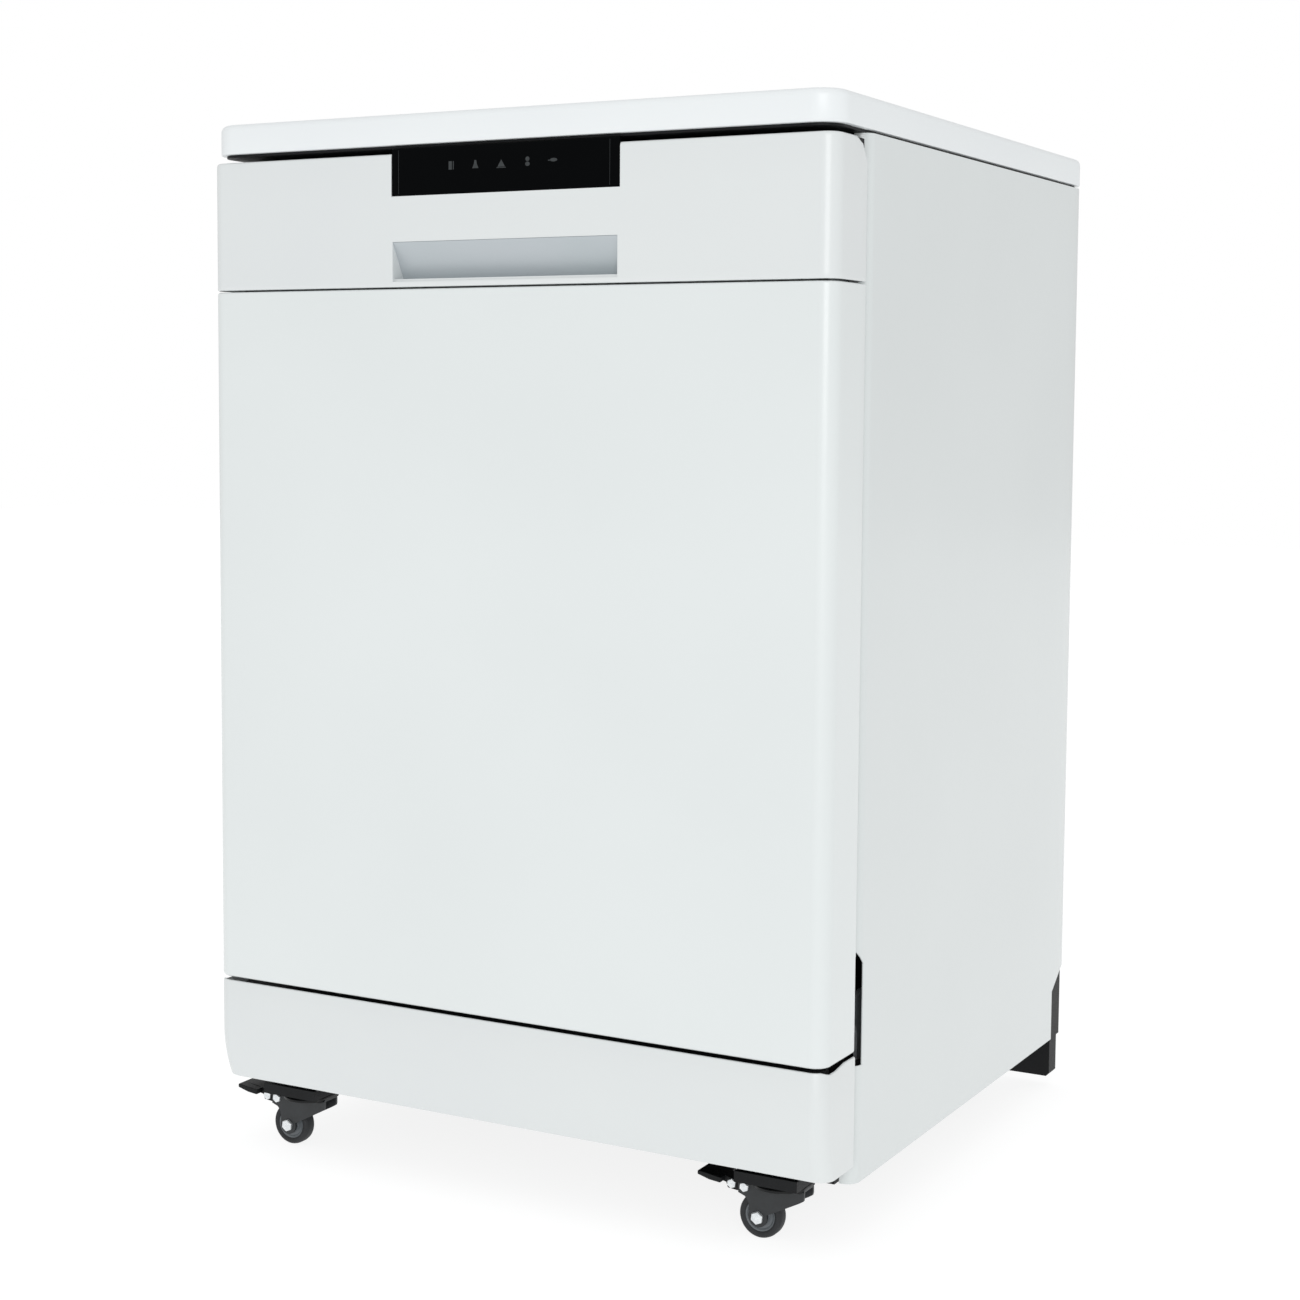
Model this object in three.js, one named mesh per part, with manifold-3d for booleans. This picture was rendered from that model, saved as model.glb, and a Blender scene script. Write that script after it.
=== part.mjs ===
// Portable dishwasher on wheels: a 24-inch front-loading dishwasher in a white steel cabinet, with its own
// worktop, a drop-down door, two wire racks, two spray arms and four swivel casters, the front two with brakes.
//
// Millimetres. +Z is up, the floor is Z = 0, the door faces -Y, and X = 0 is the middle of the width.
// Depths are counted from the face of the door: fromFront(0) is the door's outer face.

import * as THREE from 'three';
import { mergeVertices } from 'three/addons/utils/BufferGeometryUtils.js';
import Module from 'manifold-3d';

const wasm = await Module();
wasm.setup();

// ---------------------------------------------------------------- driving dimensions

const gap = 0.3; // between pieces that rest on or touch each other

// cabinet
const cabinetWidth = 598;
const cabinetDepth = 600; // door face to the worktop's rear edge
const casterHeight = 52; // floor to the underside of the base
const sidePanelHeight = 837;
const sheet = 1.2; // side and rear sheet steel
const worktopThickness = 28;
const worktopCorner = 24; // vertical corner radius
const worktopEdge = 6; // radius round the top edge
const rearOverhang = 20; // worktop past the side panels

// door, counted from the door face
const doorDepth = 60;
const doorCorner = 14;
const doorGap = 2; // door to side panel
const doorSkin = 1.5;
const doorTopGap = 5; // below the worktop
const kickRise = 16; // kick plate's foot above the base's underside
const kickHeight = 88.5;
const kickDoorGap = 5.5;
const kickSetback = 11; // how far the kick plate curves back at its foot
const kickStraight = 40;
const kickSkin = 3;
const fasciaHeight = 110.5;
const fasciaGap = 1.5;
const fasciaWall = 3;
const hingeDepth = 20; // pivot behind the door face
const hingeRise = 30; // pivot above the door's lower edge

// control display and handle pocket
const displayWidth = 218.6;
const displayHeight = 39;
const displayAside = 2.7; // its centre, to the right of the middle
const displayBelowTop = 35; // lower edge below the fascia's top
const displayThickness = 3;
const pocketWidth = 220.5;
const pocketHeight = 33;
const pocketAside = 2.25;
const pocketLip = 4.5; // fascia left below the pocket
const pocketDepth = 18;
const pocketPlate = 2;

// tub and door liner
const tubSideRoom = 19; // cabinet side to tub
const tubRearRoom = 35; // tub to the worktop's rear edge
const tubTopRoom = 25;
const tubWall = 2;
const tubFront = 67;
const tubRise = 182; // tub floor above the base's underside
const tubFlange = 12;
const tubCorner = 12; // where the sides meet the top
const tubFloorCorner = 4;
const basinDepth = 34;
const basinSideRoom = 75;
const basinFrontRoom = 53;
const basinRearRoom = 55;
const sumpRadius = 78;
const linerSideRoom = 15;
const linerSheet = 1.5;

// racks
const wireRadius = 1.7;
const rimRadius = 2.8;
const wirePitch = 80;
const lowerRackRise = 30; // above the tub floor
const lowerRackHeight = 118;
const lowerRackFrontRoom = 51; // from the tub's mouth
const lowerRackRearRoom = 19; // from the tub's back
const upperRackRise = 332;
const upperRackHeight = 112;
const upperRackFrontRoom = 19;
const upperRackRearRoom = 25;
const rackWheelRadius = 17;
const rackWheelWidth = 9;
const rackWheelAside = 13; // wheel's middle outside the basket
const wheelTrackRise = 6; // above the tub floor
const wheelTrackWidth = 14;
const wheelClearance = 0.8; // wheel over its track
const railHeight = 27.4;
const railRise = 88; // middle of the rails above the upper rack's floor
const railFrontRoom = 15;
const railRearRoom = 21;
const railFlange = 4;
const railMouth = 2; // between the two tracks
const trackWall = 2;
const bracketDepth = 15.7;
const runnerDepth = 14;

// spray arms
const lowerArmRoom = 17; // blade tip to the tub's wall
const upperArmRoom = 34;
const armWidth = 46;
const armThickness = 11;

// casters
const casterSideRoom = 61; // swivel axis to the cabinet's side
const casterFrontAxis = 52;
const casterRearRoom = 95; // swivel axis to the worktop's rear edge
const casterPlate = 56;
const casterPlateThickness = 2.4;
const casterTrail = 15; // wheel centre behind the swivel axis
const wheelRadius = 19;
const wheelWidth = 13;
const forkSheet = 2.4;
const axleRadius = 3;
const pedalReach = 68; // pedal tip from the swivel axis

// ---------------------------------------------------------------- places worked out from them

const halfWidth = cabinetWidth / 2;
const fromFront = (depth) => depth - cabinetDepth / 2;
const kickBottom = casterHeight + kickRise;
const kickTop = kickBottom + kickHeight;
const panelTop = casterHeight + sidePanelHeight;
const worktopTop = panelTop + worktopThickness;
const doorBottom = kickTop + kickDoorGap;
const doorTop = panelTop - doorTopGap;
const fasciaBottom = doorTop - fasciaHeight;
const panelDoorTop = fasciaBottom - fasciaGap;
const pivotY = fromFront(hingeDepth);
const pivotZ = doorBottom + hingeRise;
const panelFront = doorDepth + doorGap;
const panelBack = cabinetDepth - rearOverhang;
const tubHalf = halfWidth - tubSideRoom;
const tubBack = cabinetDepth - tubRearRoom;
const tubMiddle = (tubFront + tubBack) / 2;
const tubFloor = casterHeight + tubRise;
const tubTop = panelTop - tubTopRoom;
const linerHalf = halfWidth - linerSideRoom;
const trackX = { bracketOuter: tubHalf - tubWall - gap };
trackX.bracketInner = trackX.bracketOuter - bracketDepth;
trackX.rackOuter = trackX.bracketInner - railMouth;
trackX.rackInner = trackX.rackOuter - runnerDepth;
const railFront = tubFront + railFrontRoom;
const railLength = tubBack - railRearRoom - railFront;
const rackSide = trackX.rackInner + trackWall; // half width of both wire baskets
const rackWheelX = rackSide + rackWheelAside; // middle of the wheels and of their tracks
const lowerRackFloor = tubFloor + lowerRackRise;
const lowerRackFront = tubFront + lowerRackFrontRoom;
const lowerRackBack = tubBack - lowerRackRearRoom;
const upperRackFloor = tubFloor + upperRackRise;
const upperRackFront = tubFront + upperRackFrontRoom;
const upperRackBack = tubBack - upperRackRearRoom;
const railLevel = upperRackFloor + railRise;
const armSpace = Math.min(tubHalf, (tubBack - tubFront) / 2);
const casterAside = halfWidth - casterSideRoom;
const casterRearAxis = cabinetDepth - casterRearRoom;

// ---------------------------------------------------------------- materials

const finish = (color, roughness, metalness = 0) => new THREE.MeshStandardMaterial({ color, roughness, metalness });
const whitePaint = finish('#e8eded', 0.32);
const whitePlastic = finish('#edf0f0', 0.35);
const blackGlass = finish('#0c110f', 0.08);
const silverPlastic = finish('#b4bcbe', 0.4);
const stainless = finish('#b9bdbe', 0.28, 1);
const zinc = finish('#c6cacb', 0.35, 1);
const blackPlastic = finish('#1b1e20', 0.55);
const greyPlastic = finish('#8d9396', 0.5);
const coatedWire = finish('#9aa0a3', 0.45);
const blackRubber = finish('#26292b', 0.8);
const wheelRubber = finish('#3d4246', 0.7);
const blackSteel = finish('#151718', 0.4);

// ---------------------------------------------------------------- geometry helpers

function toSolid(geometry) {
  const bare = geometry.clone();
  for (const name of Object.keys(bare.attributes)) {
    if (name !== 'position') bare.deleteAttribute(name);
  }
  const merged = mergeVertices(bare, 1e-4);
  const mesh = new wasm.Mesh({
    numProp: 3,
    vertProperties: new Float32Array(merged.attributes.position.array),
    triVerts: new Uint32Array(merged.index.array),
  });
  return new wasm.Manifold(mesh);
}

function toGeometry(solid) {
  const mesh = solid.getMesh();
  const geometry = new THREE.BufferGeometry();
  geometry.setAttribute('position', new THREE.BufferAttribute(new Float32Array(mesh.vertProperties), 3));
  geometry.setIndex(new THREE.BufferAttribute(new Uint32Array(mesh.triVerts), 1));
  geometry.computeVertexNormals();
  return geometry;
}

const join = (first, ...others) => toGeometry(others.reduce((all, next) => all.add(toSolid(next)), toSolid(first)));
const cut = (first, ...others) => toGeometry(others.reduce((all, next) => all.subtract(toSolid(next)), toSolid(first)));
const common = (first, second) => toGeometry(toSolid(first).intersect(toSolid(second)));

function box(x0, x1, y0, y1, z0, z1) {
  const geometry = new THREE.BoxGeometry(x1 - x0, y1 - y0, z1 - z0);
  return geometry.translate((x0 + x1) / 2, (y0 + y1) / 2, (z0 + z1) / 2);
}

// A closed outline through [a, b] pairs, pushed along X (a = Y, b = Z), Y (a = X, b = Z) or Z (a = X, b = Y).
function outline(points) {
  return new THREE.Shape(points.map(([a, b]) => new THREE.Vector2(a, b)));
}

function extrude(shape, axis, from, to, curveSegments = 6) {
  const geometry = new THREE.ExtrudeGeometry(shape, { depth: to - from, bevelEnabled: false, curveSegments });
  const turn = new THREE.Matrix4();
  if (axis === 'x') {
    turn.makeBasis(new THREE.Vector3(0, 1, 0), new THREE.Vector3(0, 0, 1), new THREE.Vector3(1, 0, 0));
    return geometry.applyMatrix4(turn).translate(from, 0, 0);
  }
  if (axis === 'y') {
    turn.makeBasis(new THREE.Vector3(1, 0, 0), new THREE.Vector3(0, 0, 1), new THREE.Vector3(0, -1, 0));
    return geometry.applyMatrix4(turn).translate(0, to, 0);
  }
  return geometry.translate(0, 0, from);
}

function rod(axis, radius, [x, y, z], length, sides = 16) {
  const geometry = new THREE.CylinderGeometry(radius, radius, length, sides);
  if (axis === 'x') geometry.rotateZ(-Math.PI / 2);
  if (axis === 'z') geometry.rotateX(Math.PI / 2);
  return geometry.translate(x, y, z);
}

// A profile of [radius, height] pairs turned about an axis along X, Y or Z through a point.
function turned(axis, profile, [x, y, z], sides = 24) {
  const geometry = new THREE.LatheGeometry(profile.map(([r, h]) => new THREE.Vector2(r, h)), sides);
  if (axis === 'x') geometry.rotateZ(-Math.PI / 2);
  if (axis === 'z') geometry.rotateX(Math.PI / 2);
  return geometry.translate(x, y, z);
}

// Rings of points with equal counts, anticlockwise seen from the far end, skinned and capped.
function loft(rings) {
  const count = rings[0].length;
  const positions = rings.flat().flatMap((p) => [p.x, p.y, p.z]);
  const index = [];
  for (let i = 0; i + 1 < rings.length; i += 1) {
    for (let j = 0; j < count; j += 1) {
      const a = i * count + j;
      const b = i * count + ((j + 1) % count);
      index.push(a, b, b + count, a, b + count, a + count);
    }
  }
  const last = (rings.length - 1) * count;
  for (let j = 1; j + 1 < count; j += 1) {
    index.push(0, j + 1, j, last, last + j, last + j + 1);
  }
  const geometry = new THREE.BufferGeometry();
  geometry.setAttribute('position', new THREE.Float32BufferAttribute(positions, 3));
  geometry.setIndex(index);
  return geometry;
}

// A wire through points, mitred where it bends. Its flats lie at the radius.
function wire(points, radius, sides = 4) {
  const reach = radius / Math.cos(Math.PI / sides);
  const path = points.map((p) => new THREE.Vector3(...p));
  const along = path.slice(1).map((p, i) => p.clone().sub(path[i]).normalize());
  const firstSide = Math.abs(along[0].z) < 0.9 ? new THREE.Vector3(0, 0, 1) : new THREE.Vector3(1, 0, 0);
  let u = firstSide.sub(along[0].clone().multiplyScalar(firstSide.dot(along[0]))).normalize();
  const rings = path.map((point, i) => {
    const before = along[Math.max(i - 1, 0)];
    const after = along[Math.min(i, along.length - 1)];
    const middle = before.clone().add(after).normalize();
    u.sub(before.clone().multiplyScalar(u.dot(before))).normalize();
    const v = before.clone().cross(u);
    const ring = [];
    for (let k = 0; k < sides; k += 1) {
      const angle = ((k + 0.5) * 2 * Math.PI) / sides;
      const offset = u.clone().multiplyScalar(reach * Math.cos(angle));
      offset.add(v.clone().multiplyScalar(reach * Math.sin(angle)));
      offset.sub(before.clone().multiplyScalar(offset.dot(middle) / before.dot(middle)));
      ring.push(point.clone().add(offset));
    }
    u = u.clone().sub(after.clone().multiplyScalar(u.dot(after))).normalize();
    return ring;
  });
  return loft(rings);
}

// Replaces each inner corner of a path by two points, so a bent wire turns in two steps.
function softened(points, radius) {
  const path = points.map((p) => new THREE.Vector3(...p));
  const soft = [points[0]];
  for (let i = 1; i + 1 < path.length; i += 1) {
    for (const other of [path[i - 1], path[i + 1]]) {
      const step = other.clone().sub(path[i]).setLength(radius);
      soft.push(path[i].clone().add(step).toArray());
    }
  }
  soft.push(points[points.length - 1]);
  return soft;
}

// The same piece on the other side of X = 0.
function mirrored(geometry) {
  const other = geometry.clone().scale(-1, 1, 1);
  if (other.index) {
    const index = other.index.array;
    for (let i = 0; i < index.length; i += 3) [index[i], index[i + 1]] = [index[i + 1], index[i]];
    return other;
  }
  const position = other.attributes.position;
  const corner = new THREE.Vector3();
  const next = new THREE.Vector3();
  for (let i = 0; i < position.count; i += 3) {
    corner.fromBufferAttribute(position, i);
    next.fromBufferAttribute(position, i + 1);
    position.setXYZ(i, next.x, next.y, next.z);
    position.setXYZ(i + 1, corner.x, corner.y, corner.z);
  }
  return other;
}

// A rectangle with a radius at each corner, anticlockwise seen from above, the same number of points for any radius.
function roundedRing(x0, x1, y0, y1, z, radius, steps = 6) {
  const corners = [
    [x1 - radius, y0 + radius, -Math.PI / 2],
    [x1 - radius, y1 - radius, 0],
    [x0 + radius, y1 - radius, Math.PI / 2],
    [x0 + radius, y0 + radius, Math.PI],
  ];
  return corners.flatMap(([cx, cy, start]) =>
    Array.from({ length: steps + 1 }, (_, k) => {
      const angle = start + (k * Math.PI) / 2 / steps;
      return new THREE.Vector3(cx + radius * Math.cos(angle), cy + radius * Math.sin(angle), z);
    }),
  );
}

// A front cover's plan at one height: rounded at its two front corners and square at the back.
function coverRing(side, face, back, z, radius, steps = 4) {
  const ring = [new THREE.Vector3(-side, back, z)];
  for (const [sign, start] of [[-1, Math.PI], [1, -Math.PI / 2]]) {
    for (let k = 0; k <= steps; k += 1) {
      const angle = start + (k * Math.PI) / 2 / steps;
      const x = sign * (side - radius) + radius * Math.cos(angle);
      ring.push(new THREE.Vector3(x, face + radius + radius * Math.sin(angle), z));
    }
  }
  ring.push(new THREE.Vector3(side, back, z));
  return ring;
}

// A front cover from levels of { z, inset, setback }, hollowed from the back, with walls of one thickness.
function coverShell(levels, wall) {
  const back = fromFront(doorDepth);
  const outer = levels.map(({ z, inset = 0, setback = 0 }) =>
    coverRing(halfWidth - inset, fromFront(inset + setback), back, z, doorCorner - inset));
  const low = levels[0].z + wall;
  const high = levels[levels.length - 1].z - wall;
  const between = (z) => {
    const k = levels.findIndex((level) => level.z > z);
    const share = (z - levels[k - 1].z) / (levels[k].z - levels[k - 1].z);
    const mix = (key) => (levels[k - 1][key] ?? 0) * (1 - share) + (levels[k][key] ?? 0) * share;
    return { z, inset: mix('inset'), setback: mix('setback') };
  };
  const inside = levels.filter(({ z }) => z > low && z < high);
  const inner = [between(low), ...inside, between(high)].map(({ z, inset = 0, setback = 0 }) =>
    coverRing(halfWidth - wall - inset, fromFront(wall + inset + setback), back + wall, z, doorCorner - wall - inset));
  return cut(loft(outer), loft(inner));
}

const model = new THREE.Group();

function piece(name, geometry, material) {
  const mesh = new THREE.Mesh(geometry, material);
  mesh.name = name;
  model.add(mesh);
}

// Both hands of a piece drawn on the right.
function pair(leftName, rightName, geometry, material) {
  piece(rightName, geometry, material);
  piece(leftName, mirrored(geometry), material);
}

// ---------------------------------------------------------------- worktop

// A moulded slab, round at its vertical corners and top edge, on a narrower rebate that leaves a shadow line.
function worktop() {
  const front = fromFront(0);
  const back = fromFront(cabinetDepth);
  const rebate = 5;
  const rebateHeight = 2;
  const ring = (inset, z) =>
    roundedRing(-halfWidth + inset, halfWidth - inset, front + inset, back - inset, z, worktopCorner - inset, 5);
  const low = panelTop + rebateHeight;
  const levels = [ring(rebate, panelTop), ring(rebate, low), ring(1, low), ring(0, low + 1)];
  for (let k = 0; k <= 3; k += 1) {
    const angle = (k * Math.PI) / 6;
    levels.push(ring(worktopEdge * (1 - Math.cos(angle)), worktopTop - worktopEdge * (1 - Math.sin(angle))));
  }
  return loft(levels);
}
piece('worktop', worktop(), whitePlastic);

// ---------------------------------------------------------------- side and rear panels

const frontNotch = { depth: 12, bottom: doorBottom - 13, knee: doorBottom + 70, top: doorBottom + 85 };
const rearNotch = { depth: 30, knee: casterHeight + 48, top: casterHeight + 70 };

// Right side panel: a folded sheet whose front edge is rolled to a radius and turned inwards, with the clearance
// notch for the door's lower corner and the cut-away at the bottom of its rear edge.
const rearReturn = 14;
function sidePanel() {
  const roll = 10;
  const frontReturn = 3.5;
  const y0 = fromFront(panelFront);
  const y1 = fromFront(panelBack);
  const x = halfWidth;
  const shape = new THREE.Shape();
  shape.moveTo(x - roll - frontReturn, y0);
  shape.lineTo(x - roll, y0);
  shape.absarc(x - roll, y0 + roll, roll, -Math.PI / 2, 0, false);
  shape.lineTo(x, y1);
  shape.lineTo(x - rearReturn, y1);
  shape.lineTo(x - rearReturn, y1 - sheet);
  shape.lineTo(x - sheet, y1 - sheet);
  shape.lineTo(x - sheet, y0 + roll);
  shape.absarc(x - roll, y0 + roll, roll - sheet, 0, -Math.PI / 2, true);
  shape.lineTo(x - roll - frontReturn, y0 + sheet);
  const panel = extrude(shape, 'z', casterHeight, panelTop - gap);
  const beyond = 40;
  const front = extrude(outline([
    [y0 - 1, frontNotch.bottom],
    [y0 + frontNotch.depth, frontNotch.bottom],
    [y0 + frontNotch.depth, frontNotch.knee],
    [y0 - 1, frontNotch.top],
  ]), 'x', x - beyond, x + 1);
  const rear = extrude(outline([
    [y1 - rearNotch.depth, casterHeight - 1],
    [y1 + 1, casterHeight - 1],
    [y1 + 1, rearNotch.top],
    [y1 - rearNotch.depth, rearNotch.knee],
  ]), 'x', x - beyond, x + 1);
  return cut(panel, front, rear);
}
pair('left_side_panel', 'right_side_panel', sidePanel(), whitePaint);

// service fittings through the rear panel
const inletAside = -(halfWidth - 94);
const drainAside = inletAside + 85;
const glandAside = halfWidth - 109;
const serviceLevel = casterHeight + 134;
const inletSpigot = 13;
const drainSpigot = 11;
const glandSleeve = 10.5;
const rearSheetFace = panelBack - 5;
const rearPanelBottom = casterHeight + 100;
const ribHeights = [0.5, 0.84]; // shares of the rear panel's height

// Rear panel: a sheet with two pressed stiffening ribs and holes for the hose fittings and the cable gland.
function rearPanel() {
  const side = halfWidth - rearReturn - 1 - gap;
  const y1 = fromFront(rearSheetFace);
  const y0 = y1 - sheet;
  const ribSide = halfWidth - 99;
  const high = 5;
  const levels = ribHeights.map((share) => rearPanelBottom + share * (panelTop - rearPanelBottom) - 90);
  const rib = (z) => {
    const points = [[y0, z - 14], [y1, z - 14], [y1 + high, z - 8], [y1 + high, z + 8], [y1, z + 14], [y0, z + 14]];
    return extrude(outline(points), 'x', -ribSide, ribSide);
  };
  const pressed = join(box(-side, side, y0, y1, rearPanelBottom, panelTop - gap), ...levels.map(rib));
  const inside = y1 + high - sheet - 0.2;
  const hollow = (z) => extrude(outline([[y0 - 1, z - 12], [inside, z - 7], [inside, z + 7], [y0 - 1, z + 12]]),
    'x', -ribSide + 2, ribSide - 2);
  const hole = (x, radius) => rod('y', radius, [x, y1, serviceLevel], 12);
  return cut(pressed, ...levels.map(hollow), hole(inletAside, inletSpigot + 2), hole(drainAside, drainSpigot + 2),
    hole(glandAside, glandSleeve + 0.5));
}
piece('rear_panel', rearPanel(), zinc);

// ---------------------------------------------------------------- base

// Base: a moulded tray with a raised front wall behind the kick plate, a lug under each caster and a post under each
// corner of the tub.
const baseFrontWall = 78;
const baseFloor = 5;
const basePostAside = tubHalf - 18;
const basePosts = [tubFront + 45, tubBack - 45];
const baseRibAside = basePostAside - 47;
const basePostHalf = 14;
const baseSide = halfWidth - sheet - gap;

// How far the kick plate's face lies behind the door's face at one height: it curves back below its upright part.
function kickSetbackAt(z) {
  const bend = kickTop - kickStraight;
  return z >= bend ? 0 : kickSetback * (1 - (z - kickBottom) / (bend - kickBottom)) ** 2;
}

function basePan() {
  const side = baseSide;
  const wall = 4;
  const floor = casterHeight + baseFloor;
  const back = panelBack - sheet - 1;
  const sideTop = casterHeight + 98;
  const tray = cut(
    box(-side, side, fromFront(baseFrontWall), fromFront(back), casterHeight, sideTop),
    box(-side + wall, side - wall, fromFront(baseFrontWall + wall), fromFront(back - wall), floor, sideTop + 1),
  );
  const apronFront = 58;
  const lugHeight = 9;
  const apron = box(-side + 14, side - 14, fromFront(apronFront), fromFront(baseFrontWall + 2), casterHeight, floor);
  const lugs = [-1, 1].map((s) => box(s * casterAside - casterPlate / 2, s * casterAside + casterPlate / 2,
    fromFront(casterFrontAxis - casterPlate / 2), fromFront(baseFrontWall + 2), casterHeight, casterHeight + lugHeight));
  const posts = basePosts.flatMap((y) => [-1, 1].map((s) =>
    box(s * basePostAside - 12, s * basePostAside + 12, fromFront(y - basePostHalf), fromFront(y + basePostHalf), floor - 1,
      tubFloor - tubWall - gap)));
  const rib = (x) => box(x - 2, x + 2, fromFront(baseFrontWall + 2), fromFront(back - 2), floor - 1, floor + 14);
  const tabBottom = kickBottom + 10;
  const tabFront = kickSetbackAt(tabBottom) + kickSkin + gap;
  const tabs = [-1, 1].map((s) =>
    box((s * halfWidth) / 2 - 20, (s * halfWidth) / 2 + 20, fromFront(tabFront), fromFront(baseFrontWall + 2), tabBottom, tabBottom + 14));
  return join(tray, apron, ...lugs, ...posts, rib(-baseRibAside), rib(baseRibAside), ...tabs);
}
piece('base_pan', basePan(), blackPlastic);

// Anti-tip block under each rear corner.
const blockHeight = 40;
function rearBlock() {
  const side = halfWidth - 4;
  const wide = 48;
  const y1 = fromFront(panelBack - 2);
  const y0 = y1 - 20;
  const top = casterHeight - gap;
  const body = extrude(outline([
    [side - wide, top],
    [side - wide, top - blockHeight + 3],
    [side - wide + 3, top - blockHeight],
    [side - 3, top - blockHeight],
    [side, top - blockHeight + 3],
    [side, top],
  ].reverse()), 'y', y0, y1);
  const pocket = box(side - wide + 5, side - 5, y1 - 12, y1 + 1, top - blockHeight + 8, top - 6);
  return cut(body, pocket);
}
pair('left_rear_block', 'right_rear_block', rearBlock(), blackPlastic);

// ---------------------------------------------------------------- kick plate

// Kick plate: a thin moulded cover, upright for its upper part and curved back towards its foot.
function kickPlate() {
  const levels = [];
  const bend = kickTop - kickStraight;
  const steps = 4;
  for (let k = 0; k <= steps; k += 1) {
    const z = kickBottom + ((bend - kickBottom) * k) / steps;
    levels.push({ z, setback: kickSetbackAt(z) });
  }
  levels.push({ z: kickTop - 1.5 }, { z: kickTop, inset: 1.5 });
  const shell = coverShell(levels, kickSkin);
  const side = halfWidth - kickSkin;
  const openBottom = box(-side, side, fromFront(kickSetback + kickSkin), fromFront(doorDepth + 1),
    kickBottom - 1, kickBottom + kickSkin + 1);
  const openTop = box(-side, side, fromFront(10), fromFront(doorDepth + 1), kickTop - kickSkin - 1, kickTop + 1);
  return cut(shell, openBottom, openTop);
}
piece('kick_plate', kickPlate(), whitePlastic);

// ---------------------------------------------------------------- door

// Outer panel: a white steel pan with rounded upright edges. Its rear edges turn inwards to the liner, and its lower
// corners are open behind for the hinges.
const hingeOpening = linerHalf + 1;
function doorOuterPanel() {
  const edge = 4;
  const levels = [];
  for (let k = 0; k <= 3; k += 1) {
    const angle = (k * Math.PI) / 6;
    levels.push({ z: doorBottom + edge * (1 - Math.sin(angle)), inset: edge * (1 - Math.cos(angle)) });
  }
  levels.reverse();
  levels.push({ z: panelDoorTop - 2 }, { z: panelDoorTop, inset: 2 });
  const shell = coverShell(levels, doorSkin);
  const flangeInner = linerHalf + gap;
  const flange = (s) => {
    const xs = [s * flangeInner, s * (halfWidth - doorSkin / 2)].sort((a, b) => a - b);
    return box(xs[0], xs[1], fromFront(doorDepth - doorSkin), fromFront(doorDepth), pivotZ + 48, panelDoorTop - 6);
  };
  const hingeSlot = (s) => {
    const xs = [s * hingeOpening, s * (halfWidth - doorSkin)].sort((a, b) => a - b);
    return box(xs[0], xs[1], fromFront(6), fromFront(doorDepth + 1), doorBottom - 1, doorBottom + 8);
  };
  const side = halfWidth - 3;
  const openTop = box(-side, side, fromFront(8), fromFront(doorDepth + 1), panelDoorTop - doorSkin - 1,
    panelDoorTop + 1);
  return cut(join(cut(shell, openTop), flange(-1), flange(1)), hingeSlot(-1), hingeSlot(1));
}
piece('door_outer_panel', doorOuterPanel(), whitePaint);

const displayBottom = doorTop - displayBelowTop;
const pocketBottom = fasciaBottom + pocketLip;
const pocketTop = pocketBottom + pocketHeight;
const pocketFloorBack = pocketBottom - 1;

// Control fascia: the door's moulded top strip, with the display's opening and a wedge-shaped grip pocket that is
// deepest at its lower lip.
function controlFascia() {
  const levels = [
    { z: fasciaBottom, inset: 1 },
    { z: fasciaBottom + 1 },
    { z: doorTop - 3 },
    { z: doorTop - 0.9, inset: 0.9 },
    { z: doorTop, inset: 3 },
  ];
  const shell = coverShell(levels, fasciaWall);
  const side = halfWidth - fasciaWall;
  const openBottom = box(-side, side, fromFront(10), fromFront(doorDepth + 1), fasciaBottom - 1,
    fasciaBottom + fasciaWall + 1);
  const wall = 3;
  const left = pocketAside - pocketWidth / 2;
  const right = pocketAside + pocketWidth / 2;
  const housing = box(left - wall, right + wall, fromFront(fasciaWall - 1), fromFront(pocketDepth + pocketPlate + wall),
    fasciaBottom + 0.5, pocketTop + wall);
  const cavity = extrude(outline([
    [fromFront(-1), pocketTop],
    [fromFront(-1), pocketBottom],
    [fromFront(3), pocketBottom],
    [fromFront(5), pocketFloorBack],
    [fromFront(pocketDepth + pocketPlate), pocketFloorBack],
    [fromFront(pocketPlate), pocketTop],
  ].reverse()), 'x', left, right);
  const window = box(displayAside - displayWidth / 2 - gap, displayAside + displayWidth / 2 + gap, fromFront(-1),
    fromFront(displayThickness + gap), displayBottom - gap, doorTop + 1);
  const flangeInner = linerHalf + gap;
  const flange = (s) => {
    const xs = [s * flangeInner, s * (halfWidth - 1)].sort((a, b) => a - b);
    return box(xs[0], xs[1], fromFront(doorDepth - 2), fromFront(doorDepth), fasciaBottom + 6, doorTop - 1);
  };
  return cut(join(cut(shell, openBottom), housing, flange(-1), flange(1)), cavity, window);
}
piece('control_fascia', controlFascia(), whitePlastic);

piece('display_window', box(displayAside - displayWidth / 2, displayAside + displayWidth / 2, fromFront(0),
  fromFront(displayThickness), displayBottom, displayBottom + displayHeight), blackGlass);

// Silver grip plate that lines the sloping back of the pocket.
function gripPlate() {
  const left = pocketAside - pocketWidth / 2 + gap;
  const right = pocketAside + pocketWidth / 2 - gap;
  const points = [
    [fromFront(0.4), pocketTop - gap],
    [fromFront(pocketDepth - 0.2), pocketFloorBack + gap],
    [fromFront(pocketDepth + pocketPlate - 0.6), pocketFloorBack + gap],
    [fromFront(pocketPlate - 0.4), pocketTop - gap],
  ];
  return extrude(outline(points), 'x', left, right);
}
piece('handle_pocket', gripPlate(), silverPlastic);

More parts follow.
